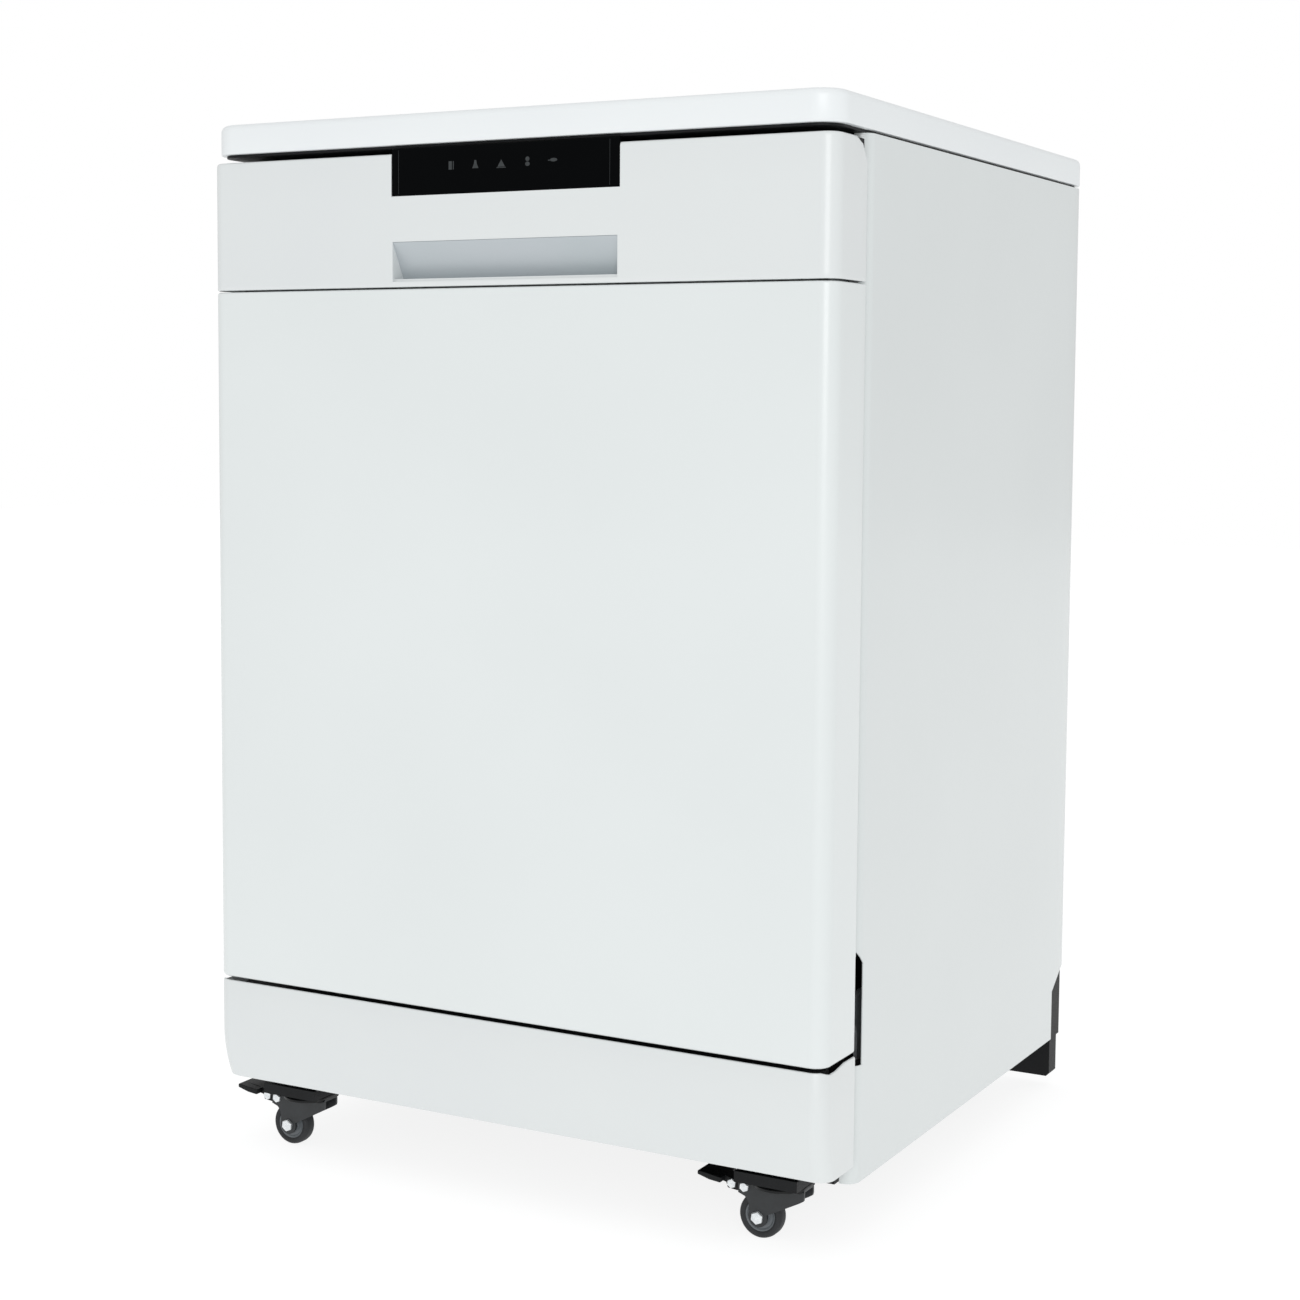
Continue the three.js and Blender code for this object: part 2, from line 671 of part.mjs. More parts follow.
// Inner liner: a stainless pan that closes the door's back, with a shallow pressed field and an opening for the
// dispenser.
const dispenser = { x0: -96, x1: 74, z0: 452, z1: 566, depth: 34 };
const linerBottom = doorBottom + 10;
const linerTop = tubTop + 8;
const latchSide = 30;
function innerLiner() {
  const side = linerHalf;
  const rear = fromFront(doorDepth);
  const ring = (inset, y) => {
    const r = Math.max(12 - inset, 1);
    return roundedRing(-side + inset, side - inset, linerBottom + inset, linerTop - inset, 0, r, 3)
      .map((p) => new THREE.Vector3(p.x, y, p.y)).reverse();
  };
  const front = fromFront(25);
  const pan = cut(loft([ring(0, front), ring(0, rear)]), loft([ring(linerSheet, front - 1),
    ring(linerSheet, rear - linerSheet)]));
  const press = 4;
  const field = (inset, y) => roundedRing(-side + 40 + inset, side - 40 - inset, linerBottom + 60 + inset,
    linerTop - 60 - inset, 0, 18, 3).map((p) => new THREE.Vector3(p.x, y, p.y)).reverse();
  const pressed = loft([field(press - linerSheet, rear - press - linerSheet), field(-linerSheet, rear - linerSheet / 2)]);
  const hollow = loft([field(press, rear - press), field(-1, rear + 1)]);
  const wall = gap;
  const opening = box(dispenser.x0 - wall, dispenser.x1 + wall, rear - 12, rear + 2, dispenser.z0 - wall,
    dispenser.z1 + wall);
  const latchOpening = box(-latchSide - gap, latchSide + gap, front - 1, rear + 1, linerTop - 24, linerTop + 1);
  const hingeRelief = (s) => box(Math.min(s * (side - 4), s * (side + 1)), Math.max(s * (side - 4), s * (side + 1)),
    front - 1, fromFront(31), linerBottom + 1, pivotZ + 12);
  return cut(join(pan, pressed), hollow, opening, latchOpening, hingeRelief(-1), hingeRelief(1));
}
piece('door_inner_liner', innerLiner(), stainless);

// Dispenser: a moulded block let into the liner, with a detergent cup and the rinse-aid filler beside it.
const cup = { x0: -84, x1: -14, z0: 470, z1: 548, depth: 26 };
const rinse = { x: 42, z: 509, radius: 20 };
const dispenserFace = doorDepth + 2;
function detergentDispenser() {
  const rear = fromFront(dispenserFace);
  const body = box(dispenser.x0, dispenser.x1, rear - dispenser.depth, rear - 2.5, dispenser.z0, dispenser.z1);
  const rim = box(dispenser.x0 - 6, dispenser.x1 + 6, fromFront(doorDepth - 4 + gap), rear, dispenser.z0 - 6,
    dispenser.z1 + 6);
  const bowl = loft([[4, rear - cup.depth], [0, rear + 1]].map(([inset, y]) =>
    roundedRing(cup.x0 + inset, cup.x1 - inset, cup.z0 + inset, cup.z1 - inset, 0, 10, 3)
      .map((p) => new THREE.Vector3(p.x, y, p.y)).reverse()));
  const well = rod('y', rinse.radius + gap, [rinse.x, rear, rinse.z], 24, 24);
  return cut(join(body, rim), bowl, well);
}
piece('detergent_dispenser', detergentDispenser(), greyPlastic);

// Lid that slides aside off the detergent cup.
function dispenserLid() {
  const rear = fromFront(dispenserFace);
  const plate = box(cup.x0 - 5, cup.x1 + 5, rear + gap, rear + gap + 3, cup.z0 - 5, cup.z1 + 5);
  const ridge = (x) => box(x - 1.5, x + 1.5, rear + gap + 2, rear + gap + 5, cup.z0 + 12, cup.z1 - 12);
  return join(plate, ridge(cup.x0 + 6), ridge(cup.x0 + 12), ridge(cup.x0 + 18));
}
piece('dispenser_lid', dispenserLid(), greyPlastic);

// Rinse-aid cap: a disc with a finger bar across it.
function rinseCap() {
  const rear = fromFront(dispenserFace);
  const disc = rod('y', rinse.radius, [rinse.x, rear - 3, rinse.z], 12, 24);
  const bar = box(rinse.x - 2.5, rinse.x + 2.5, rear + 2, rear + 7, rinse.z - 16, rinse.z + 16);
  return join(disc, bar);
}
piece('rinse_aid_cap', rinseCap(), blackPlastic);

// Door latch: a moulded housing in the liner's top edge, with a slot that takes the keeper.
const keeper = { side: 12, bottom: linerTop + 2.6, thickness: 2.5, front: 44 };
function doorLatch() {
  const rear = fromFront(doorDepth);
  const body = box(-latchSide, latchSide, fromFront(27), rear, linerTop - 24 + gap, doorTop - fasciaWall - gap);
  const slot = box(-keeper.side - 4, keeper.side + 4, fromFront(36), rear + 1, linerTop - 0.4, doorTop);
  return cut(body, slot);
}
piece('door_latch', doorLatch(), blackPlastic);

// ---------------------------------------------------------------- tub

// Tub: a stainless box open to the front, with a flange round its mouth, a raised track for the lower rack's wheels
// along each side of its floor, and a basin that falls to the sump.
function tubShell() {
  const y0 = fromFront(tubFront);
  const y1 = fromFront(tubBack);
  const ring = (inset, y) => {
    const around = (corner) => roundedRing(-tubHalf + inset, tubHalf - inset, tubFloor - tubWall + inset,
      tubTop + tubWall - inset, 0, corner - inset, 2);
    const [low, high] = [around(tubFloorCorner), around(tubCorner)];
    return [...low.slice(0, 3), ...high.slice(3, 9), ...low.slice(9)].map((p) => new THREE.Vector3(p.x, y, p.y)).reverse();
  };
  const wheelTrack = (s) => {
    const half = wheelTrackWidth / 2;
    const section = [[-half - 3, -tubWall / 2], [half + 3, -tubWall / 2], [half + 3, 0], [half, wheelTrackRise],
      [-half, wheelTrackRise], [-half - 3, 0]];
    return extrude(outline(section.map(([x, z]) => [s * rackWheelX + x, tubFloor + z])), 'y', y0 + tubWall,
      y1 - tubWall / 2);
  };
  const bodyBox = loft([ring(0, y0), ring(0, y1)]);
  const flange = loft([ring(-tubFlange, y0), ring(-tubFlange, y0 + tubWall)]);
  const basinRing = (inset, z) =>
    roundedRing(-tubHalf + basinSideRoom + inset, tubHalf - basinSideRoom - inset,
      fromFront(tubFront + basinFrontRoom + inset), fromFront(tubBack - basinRearRoom - inset), z, 40, 3);
  const fall = 70;
  const basinOuter = loft([basinRing(fall, tubFloor - basinDepth - tubWall), basinRing(0, tubFloor - 1)]);
  const basinInner = loft([basinRing(fall, tubFloor - basinDepth), basinRing(0.5, tubFloor + 1)]);
  const hollow = loft([ring(tubWall, y0 - 1), ring(tubWall, y1 - tubWall)]);
  const drain = rod('z', sumpRadius, [0, fromFront(tubMiddle), tubFloor - basinDepth], 20, 24);
  const sillCut = box(-halfWidth, halfWidth, y0 - 1, fromFront(tubFront + 8), casterHeight, tubFloor - 8);
  return join(cut(join(bodyBox, flange, basinOuter), hollow, basinInner, drain, sillCut), wheelTrack(-1), wheelTrack(1));
}
piece('tub', tubShell(), stainless);

// Door gasket: a soft strip up both sides and over the top of the tub's mouth.
function gasket() {
  const y0 = fromFront(doorDepth + gap);
  const y1 = fromFront(tubFront - gap);
  const inner = tubHalf - tubWall + 1;
  const outer = linerHalf;
  const top = tubTop + 5.5;
  const shape = outline([
    [-outer, tubFloor + 4], [-inner, tubFloor + 4], [-inner, tubTop - 12], [-inner + 12, tubTop],
    [inner - 12, tubTop], [inner, tubTop - 12], [inner, tubFloor + 4], [outer, tubFloor + 4],
    [outer, top - 12], [outer - 12, top], [-outer + 12, top], [-outer, top - 12],
  ]);
  return extrude(shape, 'y', y0, y1);
}
piece('door_gasket', gasket(), blackRubber);

// Lower seal: a lipped strip under the tub's sill.
function bottomSeal() {
  const y = fromFront(tubFront + 8);
  const top = tubFloor - tubWall;
  const shape = outline([
    [y, top - gap], [y + 4, top - gap], [y + 4, top - 18], [y - 1, top - 24], [y - 2, top - 22], [y, top - 17],
  ].reverse());
  return extrude(shape, 'x', -tubHalf + 20, tubHalf - 20);
}
piece('bottom_seal', bottomSeal(), blackRubber);

// Keeper: a steel tongue on the tub's top flange that the latch closes on.
function latchKeeper() {
  const y0 = fromFront(keeper.front);
  const y1 = fromFront(tubFront - gap);
  const z0 = keeper.bottom;
  const tongue = box(-keeper.side, keeper.side, y0, y1, z0, z0 + keeper.thickness);
  const plate = box(-keeper.side - 8, keeper.side + 8, y1 - 2, y1, z0 - 3, z0 + keeper.thickness + 2);
  const window = box(-keeper.side + 4, keeper.side - 4, y0 + 4, y0 + 12, z0 - 1, z0 + keeper.thickness + 1);
  return cut(join(tongue, plate), window);
}
piece('latch_keeper', latchKeeper(), zinc);

// ---------------------------------------------------------------- hinges

const armInner = linerHalf + gap;
const armPlate = 3;
const bracketInner = armInner + armPlate + 0.7;
const bracketPlate = 3;
const pinRadius = 4;
const springX = bracketInner - 16;
const springZ = casterHeight + 64;
const springFront = fromFront(150);

// Hinge bracket on the base: a plate whose tongue reaches forward into the door to carry the pivot.
function hingeBracket() {
  const y = pivotY;
  const z = pivotZ;
  const shape = new THREE.Shape();
  shape.absarc(y, z, 9, Math.PI / 2, (3 * Math.PI) / 2, false);
  shape.lineTo(fromFront(76), z - 9);
  shape.lineTo(fromFront(82), z - 20);
  shape.lineTo(fromFront(82), casterHeight + 10);
  shape.lineTo(fromFront(150), casterHeight + 10);
  shape.lineTo(fromFront(170), springZ - 6);
  shape.lineTo(fromFront(150), z + 14);
  shape.lineTo(fromFront(88), z + 14);
  shape.lineTo(fromFront(78), z + 9);
  const hole = new THREE.Path();
  hole.absarc(y, z, pinRadius + 0.1, 0, 2 * Math.PI, true);
  shape.holes.push(hole);
  const plate = extrude(shape, 'x', bracketInner, bracketInner + bracketPlate, 8);
  const ear = box(springX - 4, bracketInner + 1, springFront - 4, springFront, springZ - 10, springZ + 10);
  return join(plate, ear);
}
pair('left_hinge_bracket', 'right_hinge_bracket', hingeBracket(), zinc);

// Hinge arm on the door's edge, with the pivot pin.
function hingeArm() {
  const y = pivotY;
  const z = pivotZ;
  const shape = new THREE.Shape();
  shape.absarc(y, z, 10, Math.PI, 2 * Math.PI, false);
  shape.lineTo(y + 10, z + 40);
  shape.lineTo(y + 22, z + 60);
  shape.lineTo(y + 22, z + 230);
  shape.lineTo(y - 10, z + 230);
  const arm = extrude(shape, 'x', armInner, armInner + armPlate, 8);
  const pin = rod('x', pinRadius, [(armInner + bracketInner + bracketPlate + 2) / 2, y, z],
    bracketInner + bracketPlate + 2 - armInner);
  return join(arm, pin);
}
pair('left_hinge_arm', 'right_hinge_arm', hingeArm(), zinc);

// Door spring: a coil between the hinge bracket's ear and the rear post of the base, drawn as one wound wire.
function doorSpring() {
  const x = springX;
  const z = springZ;
  const start = springFront + gap;
  const end = fromFront(basePosts[1] - basePostHalf) - gap;
  const coilStart = start + 12;
  const coilLength = 150;
  const turns = 5;
  const steps = 6;
  const radius = 6;
  const points = [[x, start, z], [x, coilStart - 4, z]];
  for (let k = 0; k <= turns * steps; k += 1) {
    const angle = (k * 2 * Math.PI) / steps;
    points.push([x + radius * Math.sin(angle), coilStart + (coilLength * k) / (turns * steps), z + radius * Math.cos(angle)]);
  }
  points.push([x, coilStart + coilLength + 6, z], [x, end, z]);
  return wire(points, 1.2, 4);
}
pair('left_door_spring', 'right_door_spring', doorSpring(), zinc);

// ---------------------------------------------------------------- upper rack and its rails

const railBottom = railLevel - railHeight / 2;
const railTop = railLevel + railHeight / 2;

// A C-section track open on one side, running along the depth.
function track(closed, open, front, back) {
  const x0 = Math.min(closed, open);
  const x1 = Math.max(closed, open);
  const z0 = railBottom - gap;
  const z1 = railTop + gap;
  const shell = box(x0, x1, fromFront(front), fromFront(back), z0 - trackWall, z1 + trackWall);
  const channel = box(x0 + trackWall, x1 - trackWall, fromFront(front) - 1, fromFront(back) + 1, z0, z1);
  const mouth = open > closed ? [x1 - trackWall - 1, x1 + 1] : [x0 - 1, x0 + trackWall + 1];
  const slot = box(mouth[0], mouth[1], fromFront(front) - 1, fromFront(back) + 1, railLevel - 6, railLevel + 6);
  return cut(shell, channel, slot);
}

pair('left_rail_bracket', 'right_rail_bracket',
  track(trackX.bracketOuter, trackX.bracketInner, railFront, railFront + railLength), zinc);

// Telescopic rail: an I-section whose outer flange runs in the tub's track and inner flange in the rack's.
function rackRail() {
  const y0 = fromFront(railFront);
  const y1 = fromFront(railFront + railLength);
  const outerFace = trackX.bracketInner + 2 * trackWall;
  const innerFace = trackX.rackOuter - 2 * trackWall - 2;
  const outer = box(outerFace, outerFace + railFlange, y0, y1, railBottom, railTop);
  const web = box(innerFace - 1, outerFace + 1, y0, y1, railLevel - 4, railLevel + 4);
  const inner = box(innerFace - railFlange, innerFace, y0, y1, railBottom, railTop);
  return join(outer, web, inner);
}
pair('left_rack_rail', 'right_rack_rail', rackRail(), zinc);

// A wire basket: U-bent wires both ways, a rim and rows of prongs, all welded.
function wireBasket({ front, back, floor, height, lean, prongStep, prongEnd, prongHeight }) {
  const y0 = fromFront(front);
  const y1 = fromFront(back);
  const top = floor + height;
  const side = rackSide;
  const low = floor;
  const high = floor + wireRadius * 1.7;
  const bend = 10;
  const wires = [];
  const across = Math.floor((y1 - y0 - 60) / wirePitch);
  const acrossStart = (y0 + y1) / 2 - (across * wirePitch) / 2;
  for (let k = 0; k <= across; k += 1) {
    const y = acrossStart + k * wirePitch;
    const points = [[-side, y, top], [-side + 6, y, low], [side - 6, y, low], [side, y, top]];
    wires.push(wire(softened(points, bend), wireRadius));
  }
  const along = Math.floor((2 * side - 60) / wirePitch);
  const alongStart = -(along * wirePitch) / 2;
  for (let k = 0; k <= along; k += 1) {
    const x = alongStart + k * wirePitch;
    const points = [[x, y0, top], [x, y0 + lean, high], [x, y1 - 6, high], [x, y1, top]];
    wires.push(wire(softened(points, bend), wireRadius));
  }
  const ring = roundedRing(-side, side, y0, y1, top, 16, 2);
  const start = ring[0].clone().lerp(ring[ring.length - 1], 0.5).toArray();
  wires.push(wire([start, ...ring.map((p) => p.toArray()), start], rimRadius));
  for (let x = alongStart + wirePitch; x < prongEnd; x += prongStep * wirePitch) {
    for (let k = 0; k < across; k += 1) {
      const y = acrossStart + (k + 0.5) * wirePitch;
      wires.push(wire([[x, y, high], [x + 4, y, high + prongHeight]], wireRadius));
    }
  }
  return join(...wires);
}

const upperBasket = {
  front: upperRackFront, back: upperRackBack, floor: upperRackFloor, height: upperRackHeight,
  lean: 6, prongStep: 2, prongEnd: rackSide - 20, prongHeight: 60,
};

// Upper rack: the basket, a track along each side for the rails, and the feed pipe of the upper spray arm.
const upperArmZ = upperRackFloor - 26;
function upperRack() {
  const basket = wireBasket(upperBasket);
  const runner = (s) => track(s * trackX.rackInner, s * trackX.rackOuter, railFront + 6, railFront + railLength - 6);
  const pipeY = fromFront(tubMiddle);
  const pipe = wire([[0, pipeY, upperArmZ + armThickness + 4], [0, pipeY, upperRackFloor - 3],
    [0, fromFront(upperRackBack + 12), upperRackFloor - 3]], 7, 8);
  const hub = rod('z', 15, [0, pipeY, upperArmZ + armThickness + 6], 8, 16);
  const spindle = rod('z', 5, [0, pipeY, upperArmZ + armThickness / 4 + 1.5], 1.5 * armThickness + 9, 10);
  const stop = rod('z', 8, [0, pipeY, upperArmZ - armThickness / 2 - 3], 3, 10);
  return join(basket, runner(-1), runner(1), pipe, hub, spindle, stop);
}
piece('upper_rack', upperRack(), coatedWire);

// ---------------------------------------------------------------- lower rack

const cutlery = {
  x0: rackSide - 140, x1: rackSide - 60, y0: lowerRackFront + 72, y1: lowerRackBack - 116, height: 120, wall: 2.4,
};
const lowerBasket = {
  front: lowerRackFront, back: lowerRackBack, floor: lowerRackFloor, height: lowerRackHeight,
  lean: -10, prongStep: 1, prongEnd: cutlery.x0 - 20, prongHeight: 72,
};
const rackWheelZ = tubFloor + wheelTrackRise + wheelClearance + rackWheelRadius;
const rackWheelYs = [lowerRackFront + 62, lowerRackBack - 50];

// Lower rack: the basket and the four stub axles of its wheels.
function lowerRack() {
  const axles = [];
  for (const s of [-1, 1]) {
    for (const y of rackWheelYs) {
      const hub = [s * (rackWheelX - 6), fromFront(y), rackWheelZ];
      axles.push(rod('x', 3.2, hub, rackWheelWidth + 14, 10));
      axles.push(wire([[s * (rackSide - 2), fromFront(y), rackWheelZ - 3], [s * (rackSide - 2), fromFront(y), lowerRackFloor + 60],
        ], 2.6));
    }
  }
  const bars = [-1, 1].map((s) => wire([[s * (rackSide - 2), fromFront(lowerRackFront + 6), lowerRackFloor + 58],
    [s * (rackSide - 2), fromFront(lowerRackBack - 6), lowerRackFloor + 58]], 2.4));
  return join(wireBasket(lowerBasket), ...axles, ...bars);
}
piece('lower_rack', lowerRack(), coatedWire);

function rackWheel(s, y) {
  const half = rackWheelWidth / 2;
  const profile = [[3.5, -half], [rackWheelRadius, -half], [rackWheelRadius, half], [3.5, half], [3.5, -half]];
  return turned('x', profile, [s * rackWheelX, fromFront(y), rackWheelZ], 16);
}
for (const [word, y] of [['front', rackWheelYs[0]], ['rear', rackWheelYs[1]]]) {
  piece(`rack_wheel_${word}_left`, rackWheel(-1, y), greyPlastic);
  piece(`rack_wheel_${word}_right`, rackWheel(1, y), greyPlastic);
}

// Cutlery basket: a moulded box with slotted walls and a middle division, standing on the rack's floor.
function cutleryBasket() {
  const { x0, x1, wall } = cutlery;
  const y0 = fromFront(cutlery.y0);
  const y1 = fromFront(cutlery.y1);
  const z0 = lowerRackFloor + wireRadius * 2.7 + gap;
  const z1 = z0 + cutlery.height;
  const middle = (y0 + y1) / 2;
  const pocketOf = (a, b) => box(x0 + wall, x1 - wall, a + wall / 2, b - wall / 2, z0 + wall, z1 + 1);
  const slots = [];
  const count = 5;
  for (let k = 0; k < count; k += 1) {
    const y = y0 + ((k + 0.5) * (y1 - y0)) / count;
    if (Math.abs(y - middle) > 12) slots.push(box(x0 - 1, x1 + 1, y - 12, y + 12, z0 + 20, z1 - 24));
  }
  const body = cut(box(x0, x1, y0, y1, z0, z1), pocketOf(y0 + wall / 2, middle), pocketOf(middle, y1 - wall / 2), ...slots);
  return body;
}
piece('cutlery_basket', cutleryBasket(), greyPlastic);

// ---------------------------------------------------------------- spray arms

// A spray arm: two tapering blades of oval section with a round hub, a hollow feed and a row of jets.
function sprayArm(reach, z) {
  const y = fromFront(tubMiddle);
  const half = armThickness / 2;
  const blade = (s) => {
    const steps = 4;
    const rings = [];
    for (let k = 0; k <= steps; k += 1) {
      const share = k / steps;
      const x = share * (reach - 4);
      const wide = (armWidth / 2) * (1 - 0.45 * share) * (k === steps ? 0.6 : 1);
      const thick = half * (1 - 0.25 * share) * (k === steps ? 0.6 : 1);
      const ring = [];
      for (let j = 0; j < 8; j += 1) {
        const angle = (j * 2 * Math.PI) / 8;
        ring.push(new THREE.Vector3(x, y + wide * Math.cos(angle) + s * 8 * share * share, z + thick * Math.sin(angle)));
      }
      rings.push(ring);
    }
    const right = loft(rings);
    return s > 0 ? right : right.clone().rotateZ(Math.PI).translate(0, 2 * y, 0);
  };
  const hub = rod('z', armWidth / 2 + 3, [0, y, z], armThickness + 2, 16);
  const jets = [];
  for (const s of [-1, 1]) {
    for (const share of [0.4, 0.8]) jets.push(rod('z', 2.6, [s * share * reach, y + 3 * s, z + half], 8, 6));
  }
  const bore = rod('z', 5.3, [0, y, z], armThickness + 8, 12);
  return cut(join(blade(1), blade(-1), hub), bore, ...jets);
}
const lowerArmZ = tubFloor + 13;
piece('lower_spray_arm', sprayArm(armSpace - lowerArmRoom, lowerArmZ), stainless);
piece('upper_spray_arm', sprayArm(armSpace - upperArmRoom, upperArmZ), stainless);

// ---------------------------------------------------------------- sump, filter, pumps and inlet valve

const basinFloor = tubFloor - basinDepth;
const filterSpot = { x: 0, y: tubMiddle - 34, radius: 22 };

// Sump: a moulded bowl hung under the tub's basin, with the spindle of the lower spray arm and the filter's well.
function sump() {
  const y = fromFront(tubMiddle);
  const top = basinFloor - tubWall - gap;
  const profile = [[0, top - 62], [52, top - 62], [66, top - 20], [sumpRadius + 12, top - 4], [sumpRadius + 12, top],
    [sumpRadius - 4, top], [60, top - 12], [46, top - 56], [0, top - 56]];
  const bowl = turned('z', profile, [0, y, 0], 16);
  const column = rod('z', 11, [0, y, (top - 56 + lowerArmZ - 8) / 2], lowerArmZ - 8 - (top - 58), 16);
  const spindle = rod('z', 5, [0, y, lowerArmZ - 2], 24, 12);
  const nut = rod('z', 8, [0, y, lowerArmZ + armThickness / 2 + 4], 5, 12);
  const shoulder = rod('z', 14, [0, y, lowerArmZ - armThickness / 2 - 3.5], 4, 16);
  const well = rod('z', filterSpot.radius + 3, [filterSpot.x, fromFront(filterSpot.y), top - 46], 24, 14);
  const wellHole = rod('z', filterSpot.radius - 2, [filterSpot.x, fromFront(filterSpot.y), top - 36], 30, 14);
  return join(cut(join(bowl, well), wellHole), column, spindle, nut, shoulder);
}
piece('sump', sump(), greyPlastic);

// Filter: a cylinder with a handle that twists out of its well, seen through the basin.
function filter() {
  const y = fromFront(filterSpot.y);
  const low = basinFloor - tubWall - gap - 34 + gap;
  const high = tubFloor - 2;
  const r = filterSpot.radius - 3;
  const body = rod('z', r, [filterSpot.x, y, (low + high) / 2], high - low, 14);
  const hollow = rod('z', r - 2.5, [filterSpot.x, y, (low + high) / 2 + 4], high - low, 14);
  const bar = box(filterSpot.x - r + 1, filterSpot.x + r - 1, y - 2.5, y + 2.5, high - 14, high - 2);
  const windows = [0, 1].map((k) => {
    const slot = box(-r - 1, r + 1, -5, 5, high - 34, high - 20);
    return slot.rotateZ(((k + 0.5) * Math.PI) / 2).translate(filterSpot.x, y, 0);
  });
  return join(cut(body, hollow, ...windows), bar);
}
piece('filter', filter(), greyPlastic);

const sumpBottom = basinFloor - tubWall - gap - 62;

// Circulation pump beside the sump, lying along the width.
function circulationPump() {
  const y = fromFront(tubMiddle);
  const z = sumpBottom + 8;
  const start = 52 + 14;
  const profile = [[0, 0], [22, 0], [22, 14], [46, 18], [46, 58], [40, 64], [40, 130], [30, 138], [0, 138]];
  const body = turned('x', profile, [start, y, z - 8], 16);
  const foot = box(start + 70, start + 110, y - 30, y + 30, casterHeight + baseFloor + gap, z - 8);
  return join(body, foot);
}
piece('circulation_pump', circulationPump(), blackPlastic);

// Drain pump on the other side.
function drainPump() {
  const y = fromFront(tubMiddle);
  const z = sumpBottom;
  const profile = [[0, 0], [16, 0], [16, 12], [32, 14], [32, 44], [24, 48], [24, 90], [0, 90]];
  const body = turned('x', profile, [0, y, z], 14);
  const foot = box(50, 80, y - 20, y + 20, casterHeight + baseFloor + gap, z);
  return mirrored(join(body, foot).translate(66, 0, 0));
}
piece('drain_pump', drainPump(), blackPlastic);

// Hose connector behind the rear panel: one moulding with the inlet valve and its coil, and the drain outlet. Both
// spigots stand out through the panel.
function hoseConnector() {
  const face = fromFront(rearSheetFace);
  const front = face - sheet - gap;
  const body = box(inletAside - 22, drainAside + 20, front - 30, front, serviceLevel - 18, serviceLevel + 18);
  const spigot = (x, radius) => rod('y', radius, [x, face + 3, serviceLevel], 26, 16);
  const bore = (x, radius) => rod('y', radius, [x, face + 11, serviceLevel], 20, 12);
  const coil = rod('z', 13, [inletAside, face - 18, serviceLevel + 26], 20, 12);
  const solid = join(body, spigot(inletAside, inletSpigot), spigot(drainAside, drainSpigot), coil);
  return cut(solid, bore(inletAside, 8), bore(drainAside, 7));
}
piece('hose_connector', hoseConnector(), greyPlastic);

// Cable gland in the rear panel: a collar behind the sheet and a short sleeve through it.
function cableGland() {
  const face = fromFront(rearSheetFace);
  const profile = [[5, -12], [15, -12], [15, -sheet - gap], [glandSleeve, -sheet - gap], [glandSleeve, 8], [5, 8],
    [5, -12]];
  return turned('y', profile, [glandAside, face, serviceLevel], 16);
}
piece('cable_gland', cableGland(), blackPlastic);

// ---------------------------------------------------------------- casters

const axleZ = wheelRadius;
const plateTop = casterHeight - gap;
const plateBottom = plateTop - casterPlateThickness;
const raceThickness = 4;
const crownTop = plateBottom - gap - raceThickness;
const legInner = wheelWidth / 2 + 1;
const pedalPivot = { x: -27, z: 42.6 };

// Top plate with the ball race's fixed ring and the kingpin.
function casterPlateSolid(x, y) {
  const half = casterPlate / 2;
  const ring = (z) => roundedRing(x - half, x + half, y - half, y + half, z, 6, 2);
  const plate = loft([ring(plateBottom), ring(plateTop)]);
  const race = rod('z', 16.5, [x, y, plateBottom - 1.5], 4, 14);
  const pin = rod('z', 4, [x, y, plateBottom - 5], 10, 8);
  return join(plate, race, pin);
}

// Swivel fork: a pressed crown round the race, two tapering legs, the axle bolt and, on a braked caster, the pedal's
// pivot bolt.
function casterFork(x, y, braked) {
  const wheelX = x - casterTrail;
  const crown = plateBottom - gap;
  const shape = new THREE.Shape();
  shape.moveTo(x + 26, crown - 2);
  shape.lineTo(x + 26, crown);
  shape.lineTo(x - (braked ? 33 : 26), crown);
  shape.lineTo(x - (braked ? 33 : 26), crown - 7);
  shape.lineTo(wheelX - 8, axleZ + 4);
  shape.absarc(wheelX, axleZ, 8.5, Math.PI * 0.85, Math.PI * 2.1, false);
  shape.lineTo(x + 20, crown - 14);
  shape.lineTo(x + 26, crown - 8);
  const leg = (s) => {
    const ys = [y + s * legInner, y + s * (legInner + forkSheet)].sort((a, b) => a - b);
    return extrude(shape, 'y', ys[0], ys[1], 4);
  };
  const outer = legInner + forkSheet;
  const bridgeZ = crown - 5.2;
  const bridge = box(x - 19, x + 26, y - outer, y + outer, bridgeZ - forkSheet, bridgeZ);
  const cup = rod('z', 21, [x, y, bridgeZ + 2.5], 5.4, 14);
  const base = rod('z', 20, [x, y, bridgeZ - forkSheet / 2], forkSheet, 14);
  const pinHole = rod('z', 4.4, [x, y, bridgeZ], 12, 8);
  const raceRoom = rod('z', 17.3, [x, y, bridgeZ + 3], 6, 14);
  const axle = rod('y', axleRadius, [wheelX, y, axleZ], 2 * outer + 3, 12);
  const head = (s) => rod('y', 5, [wheelX, y + s * (outer + 1.6), axleZ], 3.4, 6);
  const crownBody = cut(join(leg(-1), leg(1), bridge, base, cup), pinHole, raceRoom);
  const solids = [axle, head(-1), head(1)];
  if (braked) {
    const at = [x + pedalPivot.x, y, pedalPivot.z];
    solids.push(rod('y', 2, at, 2 * outer + 3, 8));
    for (const s of [-1, 1]) solids.push(rod('y', 3.6, [at[0], y + s * (outer + 1), at[2]], 2.4, 8));
  }
  return join(crownBody, ...solids);
}

